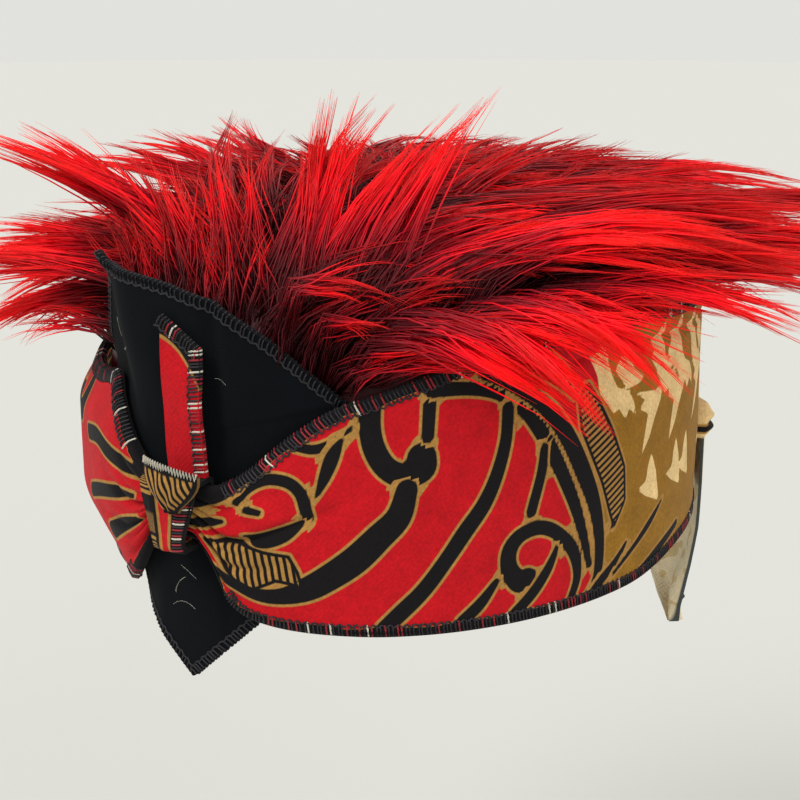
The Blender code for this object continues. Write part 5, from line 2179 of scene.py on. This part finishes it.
@dataclass(frozen=True)
class RearTie:
    """The small folded knot on the rear quarter and the end that hangs from it."""

    oval: HeadOval = HeadOval()
    prints: BatikPrint = BatikPrint()
    angle: float = 126.0
    height: float = 27 * MM
    gap: float = 0.55 * MM
    wall: float = 1.6 * MM

    def knot(self, finish: Material) -> Object:
        """The knot: a pinched pad of the band's cloth.

        Args:
            finish: The finish.

        Returns:
            The piece.
        """
        side = np.linspace(-1, 1, 33)[:, None]
        rise = np.linspace(-1, 1, 33)[None]
        dome = np.sqrt(np.maximum(0, 1 - 0.9 * side**2)) * np.sqrt(1 - 0.9 * rise**2)
        pinch = 1.4 * MM * np.maximum(0, 1 - np.abs(rise) / 0.34)
        degrees = self.angle + 5.2 * side * (1 - 0.25 * rise**2)
        height = self.height + 4.8 * MM * rise + 0 * side
        seat = self.gap + 0.2 * MM
        pleat = 0.3 * MM * np.sin(8 * rise + 3 * side) * dome
        face = seat + 1.2 * MM + 4.6 * MM * dome - pinch * dome + pleat
        outer = self.oval.point(degrees, face, height)
        inner = self.oval.point(degrees, np.full_like(face, seat), height)
        values = self.prints.plain(side * 9.5 + 0 * rise, rise * 4.8 + 0 * side)
        values["bird"] = np.full_like(values["bird"], -5.0)
        values["ink"] = np.abs(rise * 5 - 1.6 * side) - 1.0
        return sheet_piece("rear_knot_cloth", outer, inner, False, finish, values)

    def tail(self, finish: Material) -> Object:
        """The hanging end, with a rolled dark border and a bound slit near its tip.

        Args:
            finish: The finish.

        Returns:
            The piece.
        """
        side = np.linspace(-1, 1, 30)[:, None]
        first, last = TAIL_ROWS[0].height, TAIL_ROWS[-1].height
        share = np.linspace(0, 1, 90)[None]
        tall = blend(first, last, share)
        centre = column(TAIL_ROWS, "centre", True).at(tall)
        half = column(TAIL_ROWS, "half_width", True).at(tall) * MM
        turn = np.radians(centre)
        spoke = np.hypot(self.oval.half_width * np.cos(turn), self.oval.half_length * np.sin(turn))
        degrees = centre + np.degrees(half * side / spoke)
        ripple = 1.3 * MM * np.sin(math.pi * (side * 1.4 + 0.3)) * ease(1.0 - share)
        crease = 0.5 * MM * np.sin(5 * side + 0.12 * tall) * ease(1 - share)
        bound = np.abs(tall + 33 - 5.5 * side) - 0.9
        raised = 0.7 * MM * ease(1 - np.abs(bound + 0.9) / 1.4)
        behind = self.gap + 0.2 * MM + 1.4 * MM + ripple + crease
        height = np.broadcast_to(tall * MM, degrees.shape)
        hem = self.wall * blend(0.5, 1.0, np.sqrt(1 - side**2))
        outer = self.oval.point(degrees, behind + hem + raised, height)
        inner = self.oval.point(degrees, behind, height)
        across = half / MM * side
        values = {
            "cloth": np.stack([across, tall + 0 * side, 0 * across], -1),
            "border": np.minimum(half / MM + across, bound + 1.8),
        }
        return sheet_piece("rear_tail_cloth", outer, inner, False, finish, values)

    def build(self, finishes: Weaver) -> list[Object]:
        """Make the knot and the tail.

        Args:
            finishes: The shared finishes.

        Returns:
            The pieces.
        """
        knot, tail = self.knot(finishes.batik), self.tail(finishes.tie)
        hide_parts("rear_knot")
        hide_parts("rear_tail")
        return [knot, tail]


@dataclass(frozen=True)
class CrownLining:
    """The knit cloth under the fur: the CAD node's own mesh with its real finish."""

    node: str = "crown_cloth"
    flat: tuple[float, float] = (0.180, 0.215)
    flat_area: float = 0.0300

    def build(self, finishes: Weaver) -> list[Object]:
        """Give the node its finish.

        Args:
            finishes: The shared finishes.

        Returns:
            The pieces.
        """
        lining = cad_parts[self.node]
        for place in lining.material_slots:
            place.material = finishes.knit
        return [lining]


class Lamp(NamedTuple):
    """A distant soft light: the direction it comes from, its spread in degrees and its strength."""

    name: str
    place: tuple[float, float, float]
    spread: float
    strength: float


@dataclass(frozen=True)
class Studio:
    """Pale floor and world, soft lights and the photo's camera."""

    floor_height: float = -0.24
    floor_radius: float = 6.0
    aim: tuple[float, float, float] = (0.0, 0.0, 0.037)
    camera_place: tuple[float, float, float] = (0.2552, -0.3860, 0.1645)
    bearing: float = 33.4
    elevation: float = 15.6
    lens: float = 72.14
    backdrop: str = "#ecece8"
    world_strength: float = 0.90
    lamps: tuple[Lamp, ...] = (
        Lamp("key", (-0.25, -0.95, 1.10), 30.0, 1.50),
        Lamp("fill", (1.10, -0.45, 0.60), 50.0, 0.70),
        Lamp("top", (0.15, 0.55, 1.20), 50.0, 0.50),
    )

    def build(self) -> None:
        """Set the scene round the hat."""
        scene = bpy.context.scene
        scene.view_settings.view_transform = "Standard"
        turn = 2 * math.pi * np.arange(96) / 96
        rim = np.stack([np.cos(turn), np.sin(turn), 0 * turn], -1) * self.floor_radius
        mesh = bpy.data.meshes.new("floor")
        mesh.from_pydata([tuple(p) for p in rim], [], [tuple(range(96))])
        mesh.materials.append(StudioPaper().build())
        floor = bpy.data.objects.new("floor", mesh)
        floor.location.z = self.floor_height
        scene.collection.objects.link(floor)
        world = bpy.data.worlds.new("studio")
        world.use_nodes = True
        world.node_tree.nodes["Background"].inputs["Color"].default_value = linear(self.backdrop)
        world.node_tree.nodes["Background"].inputs["Strength"].default_value = self.world_strength
        scene.world = world
        for lamp in self.lamps:
            light = bpy.data.lights.new(lamp.name, "SUN")
            light.angle = math.radians(lamp.spread)
            light.energy = lamp.strength
            holder = bpy.data.objects.new(lamp.name, light)
            holder.location = lamp.place
            toward = Vector(self.aim) - Vector(lamp.place)
            holder.rotation_euler = toward.to_track_quat("-Z", "Y").to_euler()
            scene.collection.objects.link(holder)
        az, el = math.radians(self.bearing), math.radians(self.elevation)
        back = Vector((math.sin(az) * math.cos(el), -math.cos(az) * math.cos(el), math.sin(el)))
        camera = bpy.data.objects.new("camera", bpy.data.cameras.new("camera"))
        camera.data.lens = self.lens
        camera.data.sensor_width = 36.0
        camera.data.clip_start = 0.01
        camera.data.clip_end = 30.0
        camera.location = self.camera_place
        camera.rotation_euler = (-back).to_track_quat("-Z", "Y").to_euler()
        scene.collection.objects.link(camera)
        scene.camera = camera


def main() -> None:
    """Build the udeng's looks, piece by piece, and its studio."""
    logging.basicConfig(level=logging.INFO, format="%(message)s")
    finishes = Weaver.make()
    for part in (BatikBand(), FeltPanel(), FrontKnot(), CrownLining(), FurCrown(), RearTie()):
        for piece in part.build(finishes):
            log.info("%s: %s faces", piece.name, len(piece.data.polygons))
    Studio().build()


if __name__ == "__main__":
    main()
